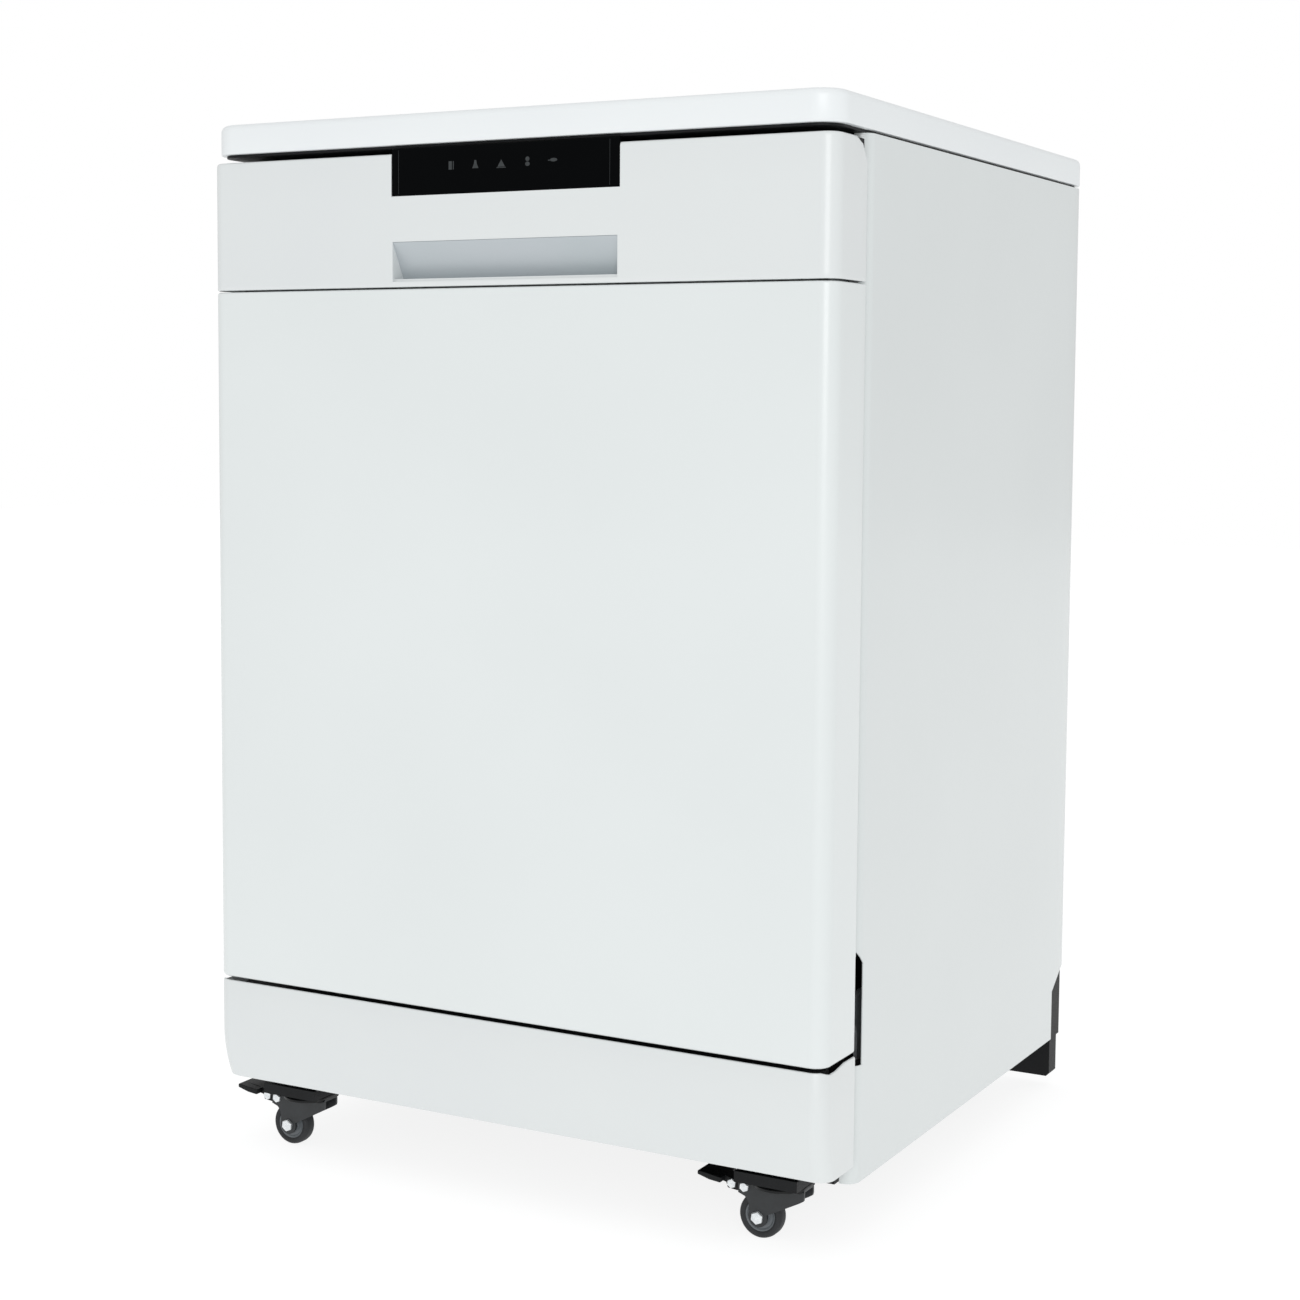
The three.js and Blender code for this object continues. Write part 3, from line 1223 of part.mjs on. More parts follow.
// Wheel: a tyre with rounded shoulders on a dished hub.
function casterWheel(x, y) {
  const half = wheelWidth / 2;
  const bore = axleRadius + 0.15;
  const dish = 1.2;
  const shoulder = 2.2;
  const profile = [[bore, -half], [7, -half], [12, -half + dish], [wheelRadius - shoulder, -half + 0.5],
    [wheelRadius, -half + shoulder], [wheelRadius, half - shoulder], [wheelRadius - shoulder, half - 0.5],
    [12, half - dish], [7, half], [bore, half], [bore, -half]];
  return turned('y', profile, [x - casterTrail, y, axleZ], 20);
}

// Brake pedal: a pressed lever with a broad upturned toe, a hub between the fork's legs and a shoe over the tyre.
function brakePedal(x, y) {
  const hubX = x + pedalPivot.x;
  const z = pedalPivot.z;
  const halfHub = legInner - 0.5;
  const lever = extrude(outline([
    [x - pedalReach, 50.6], [x - pedalReach, 47.4], [x - 57, 44.4], [hubX - 18, 42.2], [hubX - 17, 37.5],
    [hubX - 8, 36.6], [hubX - 5, 40], [hubX - 4, 45], [hubX - 14, 46.6], [x - 52, 49.4], [x - pedalReach + 1, 51],
  ]), 'y', y - halfHub, y + halfHub);
  const toe = extrude(outline([
    [x - pedalReach, 50.6], [x - pedalReach, 47.4], [x - 57, 44.4], [x - 47, 43.4], [x - 47, 48.2], [x - 54, 49],
    [x - pedalReach + 1, 51],
  ]), 'y', y - 15, y + 15);
  const hub = rod('y', 4.6, [hubX, y, z], 2 * halfHub, 12);
  const rivet = rod('y', 3.4, [hubX - 13, y, 42.4], 2 * halfHub + 5, 10);
  const bore = rod('y', 2.4, [hubX, y, z], 40, 10);
  return cut(join(lever, toe, hub, rivet), bore);
}

for (const [word, depth, braked] of [['front', casterFrontAxis, true], ['rear', casterRearAxis, false]]) {
  for (const [side, s] of [['left', -1], ['right', 1]]) {
    const x = s * casterAside;
    const y = fromFront(depth);
    const name = `caster_${word}_${side}`;
    piece(`${name}_plate`, casterPlateSolid(x, y), blackSteel);
    piece(`${name}_fork`, casterFork(x, y, braked), blackSteel);
    piece(`${name}_wheel`, casterWheel(x, y), wheelRubber);
    if (braked) piece(`${name}_pedal`, brakePedal(x, y), blackPlastic);
  }
}

export default model;
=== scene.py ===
"""Portable dishwasher on casters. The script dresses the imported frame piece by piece, from the studio and the
base up to the worktop, the door and the racks. Shapes are worked out in millimetres and built in metres."""

import math

import bpy
import numpy as np
from mathutils import Matrix, Vector


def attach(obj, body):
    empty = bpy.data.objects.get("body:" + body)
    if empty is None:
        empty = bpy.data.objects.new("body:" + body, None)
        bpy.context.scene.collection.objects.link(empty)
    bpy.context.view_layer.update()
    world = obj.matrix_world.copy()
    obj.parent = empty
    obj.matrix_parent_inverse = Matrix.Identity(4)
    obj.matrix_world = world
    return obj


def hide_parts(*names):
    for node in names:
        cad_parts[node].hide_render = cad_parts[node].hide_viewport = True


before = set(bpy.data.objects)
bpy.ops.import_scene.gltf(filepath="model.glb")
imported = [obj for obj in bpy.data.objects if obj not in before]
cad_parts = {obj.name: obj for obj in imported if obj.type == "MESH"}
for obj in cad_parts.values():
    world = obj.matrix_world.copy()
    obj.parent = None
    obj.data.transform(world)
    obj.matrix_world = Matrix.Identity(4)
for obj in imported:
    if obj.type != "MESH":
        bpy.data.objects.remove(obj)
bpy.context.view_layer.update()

# ------------------------------------------------------------------ studio
# The photograph's camera, an even white surround, two soft boxes and a pale floor. The camera stands low and
# to the right, a little below the worktop, so the top of the machine isn't seen. The key box stands far
# behind it and to its right, so the door's rounded upright edge, which faces it, is the brightest line.

CAMERA_PLACE = (1.0038, -1.8842, 0.6804)
CAMERA_YAW, CAMERA_PITCH, CAMERA_ROLL = 28.546, -4.759, 0.417
CAMERA_LENS = 62.996
CAMERA_SHIFT = -0.0462
SURROUND_SEEN, SURROUND_LIGHT = 1.0, 0.74
SOFT_BOXES = (
    # name, place, aimed at, width and height in metres, watts
    ("key_box", (4.6, -7.99, 2.9), (0.1, -0.2, 0.5), (4.8, 4.8), 212.0),
    ("top_box", (0.2, -0.8, 3.2), (0.0, 0.0, 0.5), (2.4, 2.4), 6.0),
)

scene = bpy.context.scene
scene.view_settings.view_transform = "Standard"


def linear(code):
    """An sRGB hex colour as linear RGBA: c / 12.92 up to 0.04045, ((c + 0.055) / 1.055) ** 2.4 above it."""
    srgb = np.array([int(code[k:k + 2], 16) for k in (1, 3, 5)]) / 255
    value = np.where(srgb <= 0.04045, srgb / 12.92, ((srgb + 0.055) / 1.055) ** 2.4)
    return (*value.tolist(), 1.0)


def add(tree, kind, inputs=None, **properties):
    """Adds one node, sets its properties and its inputs; an input given as a socket is linked."""
    node = tree.nodes.new("ShaderNode" + kind)
    for name, value in properties.items():
        setattr(node, name, value)
    for key, value in (inputs or {}).items():
        if isinstance(value, bpy.types.NodeSocket):
            tree.links.new(value, node.inputs[key])
        else:
            node.inputs[key].default_value = value
    return node


def finish(name, tones, patch, roughness, grain, bump, stretch=(1.0, 1.0, 1.0), **shader_values):
    """A finish worked out on Object coordinates. The colour wanders between two tones and the roughness
    between two values over patches of that many millimetres, and the surface rises and falls by bump
    millimetres over a grain of that many millimetres, drawn out along an axis where stretch is below 1."""
    material = bpy.data.materials.new(name)
    material.use_nodes = True
    tree = material.node_tree
    shader = tree.nodes["Principled BSDF"]
    place = add(tree, "TexCoord").outputs["Object"]
    drawn = add(tree, "Mapping", {"Vector": place, "Scale": stretch}).outputs["Vector"]
    broad = add(tree, "TexNoise", {"Vector": drawn, "Scale": 1000 / patch, "Detail": 3.0}).outputs["Fac"]
    fine = add(tree, "TexNoise", {"Vector": drawn, "Scale": 1000 / grain, "Detail": 2.0}).outputs["Fac"]
    spread = add(tree, "MapRange", {"Value": broad, 1: 0.3, 2: 0.7, 3: 0.0, 4: 1.0}).outputs[0]
    colour = add(tree, "Mix", {0: spread, 6: linear(tones[0]), 7: linear(tones[1])},
                 data_type="RGBA").outputs[2]
    sheen = add(tree, "MapRange", {"Value": fine, 1: 0.3, 2: 0.7, 3: roughness[0], 4: roughness[1]}).outputs[0]
    relief = add(tree, "Bump", {"Height": fine, "Distance": bump / 1000, "Strength": 1.0}).outputs["Normal"]
    for socket, value in (("Base Color", colour), ("Roughness", sheen), ("Normal", relief)):
        tree.links.new(value, shader.inputs[socket])
    for socket, value in shader_values.items():
        shader.inputs[socket.replace("_", " ")].default_value = value
    return material


photo_camera = bpy.data.objects.new("photo_camera", bpy.data.cameras.new("photo_camera"))
photo_camera.data.lens = CAMERA_LENS
photo_camera.data.sensor_width = 36.0
photo_camera.data.shift_y = CAMERA_SHIFT
photo_camera.matrix_world = (
    Matrix.Translation(CAMERA_PLACE)
    @ Matrix.Rotation(math.radians(CAMERA_YAW), 4, "Z")
    @ Matrix.Rotation(math.radians(90 + CAMERA_PITCH), 4, "X")
    @ Matrix.Rotation(math.radians(CAMERA_ROLL), 4, "Z")
)
scene.collection.objects.link(photo_camera)
scene.camera = photo_camera

for name, place, target, size, watts in SOFT_BOXES:
    lamp = bpy.data.lights.new(name, "AREA")
    lamp.shape = "RECTANGLE"
    lamp.size, lamp.size_y = size
    lamp.energy = watts
    holder = bpy.data.objects.new(name, lamp)
    holder.location = place
    holder.rotation_euler = (Vector(target) - Vector(place)).to_track_quat("-Z", "Y").to_euler()
    scene.collection.objects.link(holder)

# The surround is seen as pure white, and lights the machine a little less strongly than that.
surround = bpy.data.worlds.new("white_surround")
surround.use_nodes = True
seen = add(surround.node_tree, "LightPath").outputs["Is Camera Ray"]
strength = add(surround.node_tree, "Math", {0: seen, 1: SURROUND_SEEN - SURROUND_LIGHT, 2: SURROUND_LIGHT},
               operation="MULTIPLY_ADD").outputs[0]
surround.node_tree.nodes["Background"].inputs["Color"].default_value = linear("#ffffff")
surround.node_tree.links.new(strength, surround.node_tree.nodes["Background"].inputs["Strength"])
scene.world = surround

# Seamless paper over a light table: a very pale matt sweep with a faint fibre tone, lit from within so that
# the machine's own shadow stays faint and the sweep runs into the surround without a line.
sweep_paper = finish("seamless_paper", ("#858686", "#828383"), 400, (0.75, 0.85), 2.0, 0.01,
                     Specular_IOR_Level=0.0, Emission_Color=linear("#ffffff"), Emission_Strength=0.86)
sweep_mesh = bpy.data.meshes.new("studio_floor")
sweep_mesh.from_pydata([(-9, -9, 0), (9, -9, 0), (9, 9, 0), (-9, 9, 0)], [], [(0, 1, 2, 3)])
sweep_mesh.materials.append(sweep_paper)
studio_floor = bpy.data.objects.new("studio_floor", sweep_mesh)
scene.collection.objects.link(studio_floor)

# ------------------------------------------------------------------ base and rear blocks
# The base is a black polypropylene tray that carries the pumps and the tub, with a lug over each caster. Two
# blocks of the same plastic hang under its rear corners and stop the machine from tipping back.

# Moulded polypropylene: a fine spark-eroded grain that breaks up the shine, greyer where it catches light.
black_polypropylene = finish("moulded_black_polypropylene", ("#0a0b0d", "#111315"), 45, (0.42, 0.58), 0.9, 0.03,
                             Specular_IOR_Level=0.22)


def dress(material, *nodes):
    """Gives CAD nodes whose shape stays a finish of their own."""
    for node in nodes:
        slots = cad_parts[node].data.materials
        slots.clear()
        slots.append(material)


dress(black_polypropylene, "base_pan", "left_rear_block", "right_rear_block")

# ------------------------------------------------------------------ casters
# Four pressed-steel swivel casters, painted black, with a hard rubber tyre on a grey hub. The front two carry
# a brake: a black pedal on a pivot bolt between the fork's ears. All are bolted up through the base.

MM = 0.001
CASTER_ASIDE = 238.0
CASTER_ROWS = {"front": -248.0, "rear": 205.0}
WHEEL_TRAIL = 15.0
WHEEL_RADIUS = 19.0
PLATE_HALF_X, PLATE_HALF_Y, PLATE_CORNER = 28.0, 18.0, 5.0
PLATE_TOP, PLATE_SHEET, PLATE_EDGE = 51.7, 2.4, 0.6
PLATE_BOLT_X, PLATE_BOLT_Y = 22.0, 12.0
FORK_TOP, FORK_BEND = 48.6, 3.0
LEG_OUTER, FORK_SHEET = 9.9, 2.4
LEG_BOSS = 8.4
EAR_BRAKED, EAR_PLAIN = -33.0, -25.0
PIVOT_X, PIVOT_Z = -27.0, 42.6
RIVET_X, RIVET_Z = -40.0, 42.4
LEVER_HALF, TOE_HALF = 7.0, 15.0

# Black paint on pressed steel: smooth and half glossy, with the slight waviness of a dipped coat.
black_caster_paint = finish("black_caster_paint", ("#08090a", "#0f1112"), 14, (0.3, 0.44), 3.0, 0.02,
                            Specular_IOR_Level=0.25)
# Phosphated fork: the same steel with a thinner, greyer coat.
fork_coat = finish("phosphated_fork_coat", ("#1a1d1f", "#232629"), 12, (0.34, 0.48), 2.0, 0.02)
# Hard rubber: dark grey with no shine, a little dusty.
hard_rubber = finish("hard_rubber_tyre", ("#15171a", "#1f2225"), 9, (0.55, 0.75), 0.6, 0.03)
# Nylon hub: mid grey, half matt.
grey_nylon = finish("moulded_grey_nylon", ("#5b6064", "#686d71"), 20, (0.36, 0.5), 0.8, 0.02)
# Zinc-plated bolt: bright, with a fine turned grain.
zinc_bolt = finish("zinc_plated_bolt", ("#d9dde0", "#eef1f2"), 3, (0.22, 0.34), 0.4, 0.01, Metallic=0.75)


def lattice(points, keep=None):
    """A surface over a lattice of points, rows by columns by 3, with a quad between each four neighbours.
    keep is a mask of the cells that stay; the rest are openings. The face normal is rows cross columns."""
    rows, columns = points.shape[:2]
    first = np.arange(rows * columns).reshape(rows, columns)
    quads = np.stack([first[:-1, :-1], first[1:, :-1], first[1:, 1:], first[:-1, 1:]], -1)
    quads = quads.reshape(-1, 4) if keep is None else quads[np.broadcast_to(keep, quads.shape[:2])]
    return points.reshape(-1, 3), quads, []


def stacked(*arrays):
    """Three coordinates, each a number or an array, as points."""
    return np.stack(np.broadcast_arrays(*arrays), -1)


def plate(ring):
    """One flat face through a ring of points."""
    return np.asarray(ring, float), np.zeros((0, 4), int), [np.arange(len(ring))]


def together(*parts):
    """Several surfaces as one, so that their shared edges are welded."""
    shift = np.cumsum([0] + [len(part[0]) for part in parts])
    return (
        np.concatenate([part[0] for part in parts]),
        np.concatenate([part[1] + k for part, k in zip(parts, shift)]),
        [ring + k for part, k in zip(parts, shift) for ring in part[2]],
    )


def moved(part, scale=(1, 1, 1), by=(0, 0, 0)):
    """The same surface, scaled and then moved. A mirrored one has its faces turned round."""
    points = part[0] * np.array(scale, float) + np.array(by, float)
    if np.prod(scale) > 0:
        return points, part[1], part[2]
    return points, part[1][:, ::-1], [ring[::-1] for ring in part[2]]


def closed_extrusion(ring, axis, start, end):
    """A flat outline pushed along an axis: walls between its copies at start and end, and a face on each. The
    outline gives the other two coordinates in their order X, Y, Z."""
    ring = np.asarray(ring, float)
    around = np.concatenate([ring, ring[:1]])
    ends = np.stack([np.insert(around, axis, level, axis=1) for level in (start, end)], 1)
    return together(lattice(ends), plate(ends[:-1, 0]), plate(ends[::-1, 1][1:]))


def turned(profile, axis, centre, steps=48, start=0.0):
    """A profile of (radius, height) pairs turned about an axis through a point: centre + height along the
    axis + radius * (cos a, sin a) across it."""
    radius, height = np.asarray(profile, float).T
    angle = np.linspace(0, 2 * np.pi, steps + 1) + start
    across = radius[None, :] * np.stack([np.cos(angle), np.sin(angle)])[:, :, None]
    points = np.insert(np.stack(across, -1), axis, np.broadcast_to(height, across.shape[1:]), axis=2)
    return lattice(points + np.array(centre, float))


def both_ways(half):
    """The closed profile of a ring from the half of it on one side of its middle plane."""
    return half + [(radius, -height) for radius, height in half[::-1]] + half[:1]


def make(name, parts, body, material, replaced=(), wall=0.0, bevel=0.0, angle=32, closed=True):
    """Builds one piece. Each part is welded to a hundredth of a millimetre by itself, a quad with two equal
    corners becomes a triangle, and unused points go. Closed parts have their faces turned outwards. wall
    thickens a sheet on the side away from its normals and bevel rounds the edges, both in millimetres."""
    points, faces, count = [], [], 0
    for part, quads, rings in parts:
        keys = np.round(part * 100 + 0.31).astype(np.int64)
        _, first, same = np.unique(keys, axis=0, return_index=True, return_inverse=True)
        same = same.reshape(-1)
        quads = same[quads].reshape(-1, 4)
        equal = quads == np.roll(quads, -1, axis=1)
        doubled = equal.sum(1)
        found = quads[doubled == 0].tolist() + quads[doubled == 1][~equal[doubled == 1]].reshape(-1, 3).tolist()
        found += [same[ring].tolist() for ring in rings]
        used = np.zeros(len(first), bool)
        used[np.concatenate([np.asarray(face) for face in found])] = True
        number = (np.cumsum(used) - 1 + count).tolist()
        points.append(part[first][used] * MM)
        faces += [[number[k] for k in face] for face in found]
        count += int(used.sum())
    mesh = bpy.data.meshes.new(name)
    mesh.from_pydata(np.concatenate(points), [], faces)
    mesh.validate()
    piece = bpy.data.objects.new(name, mesh)
    scene.collection.objects.link(piece)
    if closed:
        bpy.context.view_layer.objects.active = piece
        bpy.ops.object.mode_set(mode="EDIT")
        bpy.ops.mesh.select_all(action="SELECT")
        bpy.ops.mesh.normals_make_consistent(inside=False)
        bpy.ops.object.mode_set(mode="OBJECT")
    mesh.shade_smooth()
    mesh.set_sharp_from_angle(angle=math.radians(angle))
    mesh.materials.append(material)
    if wall:
        thickness = piece.modifiers.new("wall", "SOLIDIFY")
        thickness.thickness = wall * MM
        thickness.offset = -1.0
        thickness.use_even_offset = True
    if bevel:
        edge = piece.modifiers.new("edges", "BEVEL")
        edge.width = bevel * MM
        edge.segments = 2
        edge.limit_method = "ANGLE"
        edge.angle_limit = math.radians(angle)
        edge.harden_normals = True
    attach(piece, body)
    if replaced:
        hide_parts(*replaced)
    return piece


def rounded_ring(half_x, half_y, radius, steps=8, centre=(0.0, 0.0)):
    """A rectangle with rounded corners, anticlockwise, as points and outward normals: radius * normal from the
    centre of each corner. The same ring moved inwards by an inset is point minus normal times inset."""
    first = np.array([-0.5, 0.0, 0.5, 1.0])[:, None] * np.pi
    angle = (np.linspace(0, np.pi / 2, steps + 1)[None, :] + first).ravel()
    normal = np.stack([np.cos(angle), np.sin(angle)], -1)
    side = np.repeat([[1, -1], [1, 1], [-1, 1], [-1, -1]], steps + 1, axis=0)
    middle = side * np.array([half_x - radius, half_y - radius])
    return middle + radius * normal + np.array(centre), normal


def slab(ring, normal, levels):
    """A solid from a ring whose inset changes with height, closed by a flat face at each end. levels are
    (inset, height) pairs from the bottom up."""
    inset, height = np.array(levels, float).T
    flat = ring[:, None, :] - normal[:, None, :] * inset[None, :, None]
    points = np.concatenate([flat, np.broadcast_to(height, flat.shape[:2])[..., None]], -1)
    around = np.concatenate([points, points[:1]])
    return together(lattice(around), plate(points[::-1, 0]), plate(points[:, -1]))


def hexagon_bolt(centre, y_face, side, radius, head):
    """A hexagon head with a domed face on the outside of a fork leg, its axis along Y."""
    outward = np.array([[0, 0], [radius, 0], [radius, 0.75 * head], [0.84 * radius, head], [0, 1.06 * head]])
    outward[:, 1] *= side
    return turned(outward, 1, (centre[0], y_face, centre[1]), steps=6, start=0.4)


def fork_sheet(braked):
    """The fork as one bent sheet. The lattice runs up the front leg, over the crown and down the rear leg;
    across it lies the leg's width at that height, which tapers from the crown to a round end about the
    axle."""
    ear = EAR_BRAKED if braked else EAR_PLAIN
    arc = np.linspace(0, np.pi / 2, 9)[1:]
    round_end = WHEEL_RADIUS - LEG_BOSS * np.cos(np.linspace(0.02, 1.9, 13))
    leg_z = np.concatenate([round_end, np.linspace(round_end[-1], FORK_TOP - FORK_BEND, 12)[1:]])
    crown_y = np.linspace(-LEG_OUTER + FORK_BEND, LEG_OUTER - FORK_BEND, 7)
    up_y = np.concatenate([np.full(len(leg_z), -LEG_OUTER), -LEG_OUTER + FORK_BEND * (1 - np.cos(arc))])
    up_z = np.concatenate([leg_z, FORK_TOP - FORK_BEND * (1 - np.sin(arc))])
    y = np.concatenate([up_y, crown_y[1:-1], -up_y[::-1]])
    z = np.concatenate([up_z, np.full(len(crown_y) - 2, FORK_TOP), up_z[::-1]])
    boss = np.sqrt(np.clip(LEG_BOSS ** 2 - (z - WHEEL_RADIUS) ** 2, 0.05, None))
    taper_left = np.interp(z, [22, 30, 34.5, 36, 37, 50], [-22.6, -23.5, -26, ear + 2, ear, ear])
    taper_right = np.interp(z, [22, 27.4, 38.2, 39.5, 50], [-6.9, 4.0, 24.5, 26.0, 26.0])
    left = np.where(z < 22, -WHEEL_TRAIL - boss, taper_left)
    right = np.where(z < 22, -WHEEL_TRAIL + boss, taper_right)
    share = np.linspace(0, 1, 9)
    x = left[:, None] + (right - left)[:, None] * share
    return lattice(stacked(x, y[:, None], z[:, None])[:, ::-1])


plate_ring, plate_normal = rounded_ring(PLATE_HALF_X, PLATE_HALF_Y, PLATE_CORNER)
caster_top_plate = slab(plate_ring, plate_normal, [
    (PLATE_EDGE, PLATE_TOP - PLATE_SHEET), (0, PLATE_TOP - PLATE_SHEET + 0.5), (0, PLATE_TOP - 0.5),
    (PLATE_EDGE, PLATE_TOP)])
ball_race = turned([(0, 45.6), (16.2, 45.6), (17.4, 46.4), (17.4, 47.8), (16.4, 49.4), (0, 49.4)], 2, (0, 0, 0))
plate_bolt = turned([(0, 46.2), (3.0, 46.2), (3.6, 46.8), (3.6, 49.4), (0, 49.4)], 2, (0, 0, 0), steps=6)
plate_bolts = [moved(plate_bolt, by=(x, y, 0)) for x in (-PLATE_BOLT_X, PLATE_BOLT_X)
               for y in (-PLATE_BOLT_Y, PLATE_BOLT_Y)]
swivel_cup = turned([(17.8, 45.2), (21.0, 45.2), (21.6, 45.8), (21.6, 47.6), (21.0, 48.4), (17.8, 48.4),
                     (17.8, 45.2)], 2, (0, 0, 0))
axle_bolts = [hexagon_bolt((-WHEEL_TRAIL, WHEEL_RADIUS), s * LEG_OUTER, s, 5.6, 3.2) for s in (-1, 1)]
axle_shaft = turned([(0, -LEG_OUTER), (3, -LEG_OUTER), (3, LEG_OUTER), (0, LEG_OUTER)], 1,
                    (-WHEEL_TRAIL, 0, WHEEL_RADIUS), steps=20)
pivot_bolts = [hexagon_bolt((PIVOT_X, PIVOT_Z), s * LEG_OUTER, s, 4.3, 2.4) for s in (-1, 1)]
tyre_side = [(13.2, -5.4), (14.2, -6.1), (15.6, -6.5), (17.4, -6.0), (18.6, -4.6), (WHEEL_RADIUS, -2.8)]
hub_side = [(3.1, -6.4), (6.2, -6.4), (6.8, -5.6), (7.6, -4.0), (11.0, -4.0), (12.0, -5.0), (13.2, -5.4)]
tyre = turned(both_ways(tyre_side), 1, (-WHEEL_TRAIL, 0, WHEEL_RADIUS), 64)
hub = turned(both_ways(hub_side), 1, (-WHEEL_TRAIL, 0, WHEEL_RADIUS), 48)

# Pedal: a lever between the ears that widens into an upturned toe, with a shoe over the tyre.
lever_side = [(-68, 50.6), (-68, 47.6), (-57, 44.6), (-45.5, 42.2), (-44, 37.8), (-35, 36.8), (-32, 40.2),
              (-31, 45.2), (-41, 46.8), (-52, 49.4), (-67, 51)]
toe_side = [(-68, 50.6), (-68, 47.6), (-57, 44.6), (-47, 43.6), (-46.4, 48.2), (-54, 49.2), (-67, 51)]
pedal_lever = closed_extrusion(lever_side, 1, -LEVER_HALF, LEVER_HALF)
pedal_toe = closed_extrusion(toe_side, 1, -TOE_HALF, TOE_HALF)
pedal_hub = turned(both_ways([(2.6, -LEVER_HALF), (4.6, -LEVER_HALF)]), 1, (PIVOT_X, 0, PIVOT_Z), 24)
pedal_rivets = [hexagon_bolt((RIVET_X, RIVET_Z), s * LEVER_HALF, s, 4.2, 2.0) for s in (-1, 1)]

for row, depth in CASTER_ROWS.items():
    for side, sign in (("left", -1), ("right", 1)):
        corner, at = f"{row}_{side}", (sign * CASTER_ASIDE, depth, 0)
        braked = row == "front"
        spot = lambda *parts: [moved(part, by=at) for part in parts]
        make(f"caster_{corner}_top_plate", spot(caster_top_plate, ball_race, *plate_bolts), "cabinet",
             black_caster_paint, [f"caster_{corner}_plate"])
        make(f"caster_{corner}_fork_sheet", spot(fork_sheet(braked)), f"fork_{corner}",
             fork_coat, [f"caster_{corner}_fork"], wall=FORK_SHEET, bevel=0.4, closed=False)
        make(f"caster_{corner}_swivel_cup", spot(swivel_cup), f"fork_{corner}",
             black_caster_paint)
        make(f"caster_{corner}_bolts", spot(axle_shaft, *axle_bolts, *(pivot_bolts if braked else [])),
             f"fork_{corner}", zinc_bolt, bevel=0.25)
        make(f"caster_{corner}_tyre", spot(tyre), f"wheel_{corner}", hard_rubber,
             [f"caster_{corner}_wheel"])
        make(f"caster_{corner}_hub", spot(hub), f"wheel_{corner}", grey_nylon, bevel=0.3)
        if braked:
            make(f"caster_{corner}_brake_lever", spot(pedal_lever, pedal_toe, pedal_hub), f"pedal_{corner}",
                 black_polypropylene, [f"caster_{corner}_pedal"], bevel=0.7)
            make(f"caster_{corner}_brake_rivet", spot(*pedal_rivets), f"pedal_{corner}",
                 zinc_bolt, bevel=0.25)

# ------------------------------------------------------------------ side panels
# Enamelled sheet steel, folded: the front edge is rolled to a 12 mm radius and turned in, the rear edge is
# turned in. Each has a notch that clears the door's lower corner and is cut away at its rear foot.

SIDE_X, SIDE_FRONT, SIDE_BACK = 299.0, -238.0, 280.0
SIDE_BOTTOM, SIDE_TOP = 52.0, 888.7
SIDE_SHEET = 1.2
SIDE_ROLL, REAR_BEND = 12.0, 1.6
FRONT_RETURN, REAR_RETURN = 285.5, 285.0
NOTCH_BOTTOM, NOTCH_KNEE, NOTCH_TOP, NOTCH_DEPTH = 149.0, 232.0, 247.0, 12.0
HEEL_KNEE, HEEL_TOP, HEEL_DEPTH = 100.0, 122.0, 30.0

# Powder-coated enamel on steel: cool white, half gloss, with a very slight orange peel 4 mm across.
white_enamel = finish("white_powder_enamel", ("#d9dede", "#dce1e1"), 260, (0.3, 0.36), 4.0, 0.006, IOR=1.5,
                      Coat_Weight=0.45, Coat_Roughness=0.16)
# The sides' enamel: the same coat over a slightly greyer ground, made darker still as painted shade for the
# sides, which are turned away from the key box.
side_enamel_with_painted_shade = finish("white_side_enamel_painted_shade", ("#d2d7d7", "#d5dada"), 260, (0.3, 0.36), 4.0, 0.006, IOR=1.5,
                     Coat_Weight=0.45, Coat_Roughness=0.16)


def side_panel():
    """The panel's plan as one line from the front return, round the roll, along the side and into the rear
    return, stretched up in z. Two rows of points are bent to follow the sloping edges of the notch and of the
    heel."""
    roll = np.linspace(-np.pi / 2, 0, 13)
    bend = np.linspace(0, np.pi / 2, 5)
    along = np.unique(np.concatenate([np.linspace(SIDE_FRONT + SIDE_ROLL, SIDE_BACK - REAR_BEND, 18),
                                      [SIDE_FRONT + NOTCH_DEPTH, SIDE_BACK - HEEL_DEPTH]]))
    x = np.concatenate([[FRONT_RETURN], SIDE_X - SIDE_ROLL * (1 - np.cos(roll)), np.full(len(along), SIDE_X),
                        SIDE_X - REAR_BEND * (1 - np.cos(bend)), [REAR_RETURN]])
    y = np.concatenate([[SIDE_FRONT], SIDE_FRONT + SIDE_ROLL * (1 + np.sin(roll)), along,
                        SIDE_BACK - REAR_BEND * (1 - np.sin(bend)), [SIDE_BACK]])
    notch_edge = np.interp(y, [SIDE_FRONT, SIDE_FRONT + NOTCH_DEPTH], [NOTCH_TOP, NOTCH_KNEE])
    heel_edge = np.interp(y, [SIDE_BACK - HEEL_DEPTH, SIDE_BACK], [HEEL_KNEE, HEEL_TOP])
    rows = np.stack([np.full_like(y, SIDE_BOTTOM), heel_edge, np.full_like(y, NOTCH_BOTTOM), notch_edge]
                    + [np.full_like(y, z) for z in np.linspace(NOTCH_TOP + 40, SIDE_TOP, 8)], 1)
    points = stacked(x[:, None], y[:, None], rows)
    middle = (y[1:] + y[:-1]) / 2
    keep = np.ones((len(y) - 1, rows.shape[1] - 1), bool)
    keep[middle > SIDE_BACK - HEEL_DEPTH, 0] = False
    keep[middle < SIDE_FRONT + NOTCH_DEPTH, 2] = False
    return lattice(points, keep)


# Both sides take the darker enamel; part of its darkness is painted shade.
right_side = side_panel()
make("right_cabinet_side", [right_side], "cabinet", side_enamel_with_painted_shade, ["right_side_panel"],
     wall=SIDE_SHEET, bevel=0.35, closed=False)
make("left_cabinet_side", [moved(right_side, (-1, 1, 1))], "cabinet", side_enamel_with_painted_shade,
     ["left_side_panel"], wall=SIDE_SHEET, bevel=0.35, closed=False)
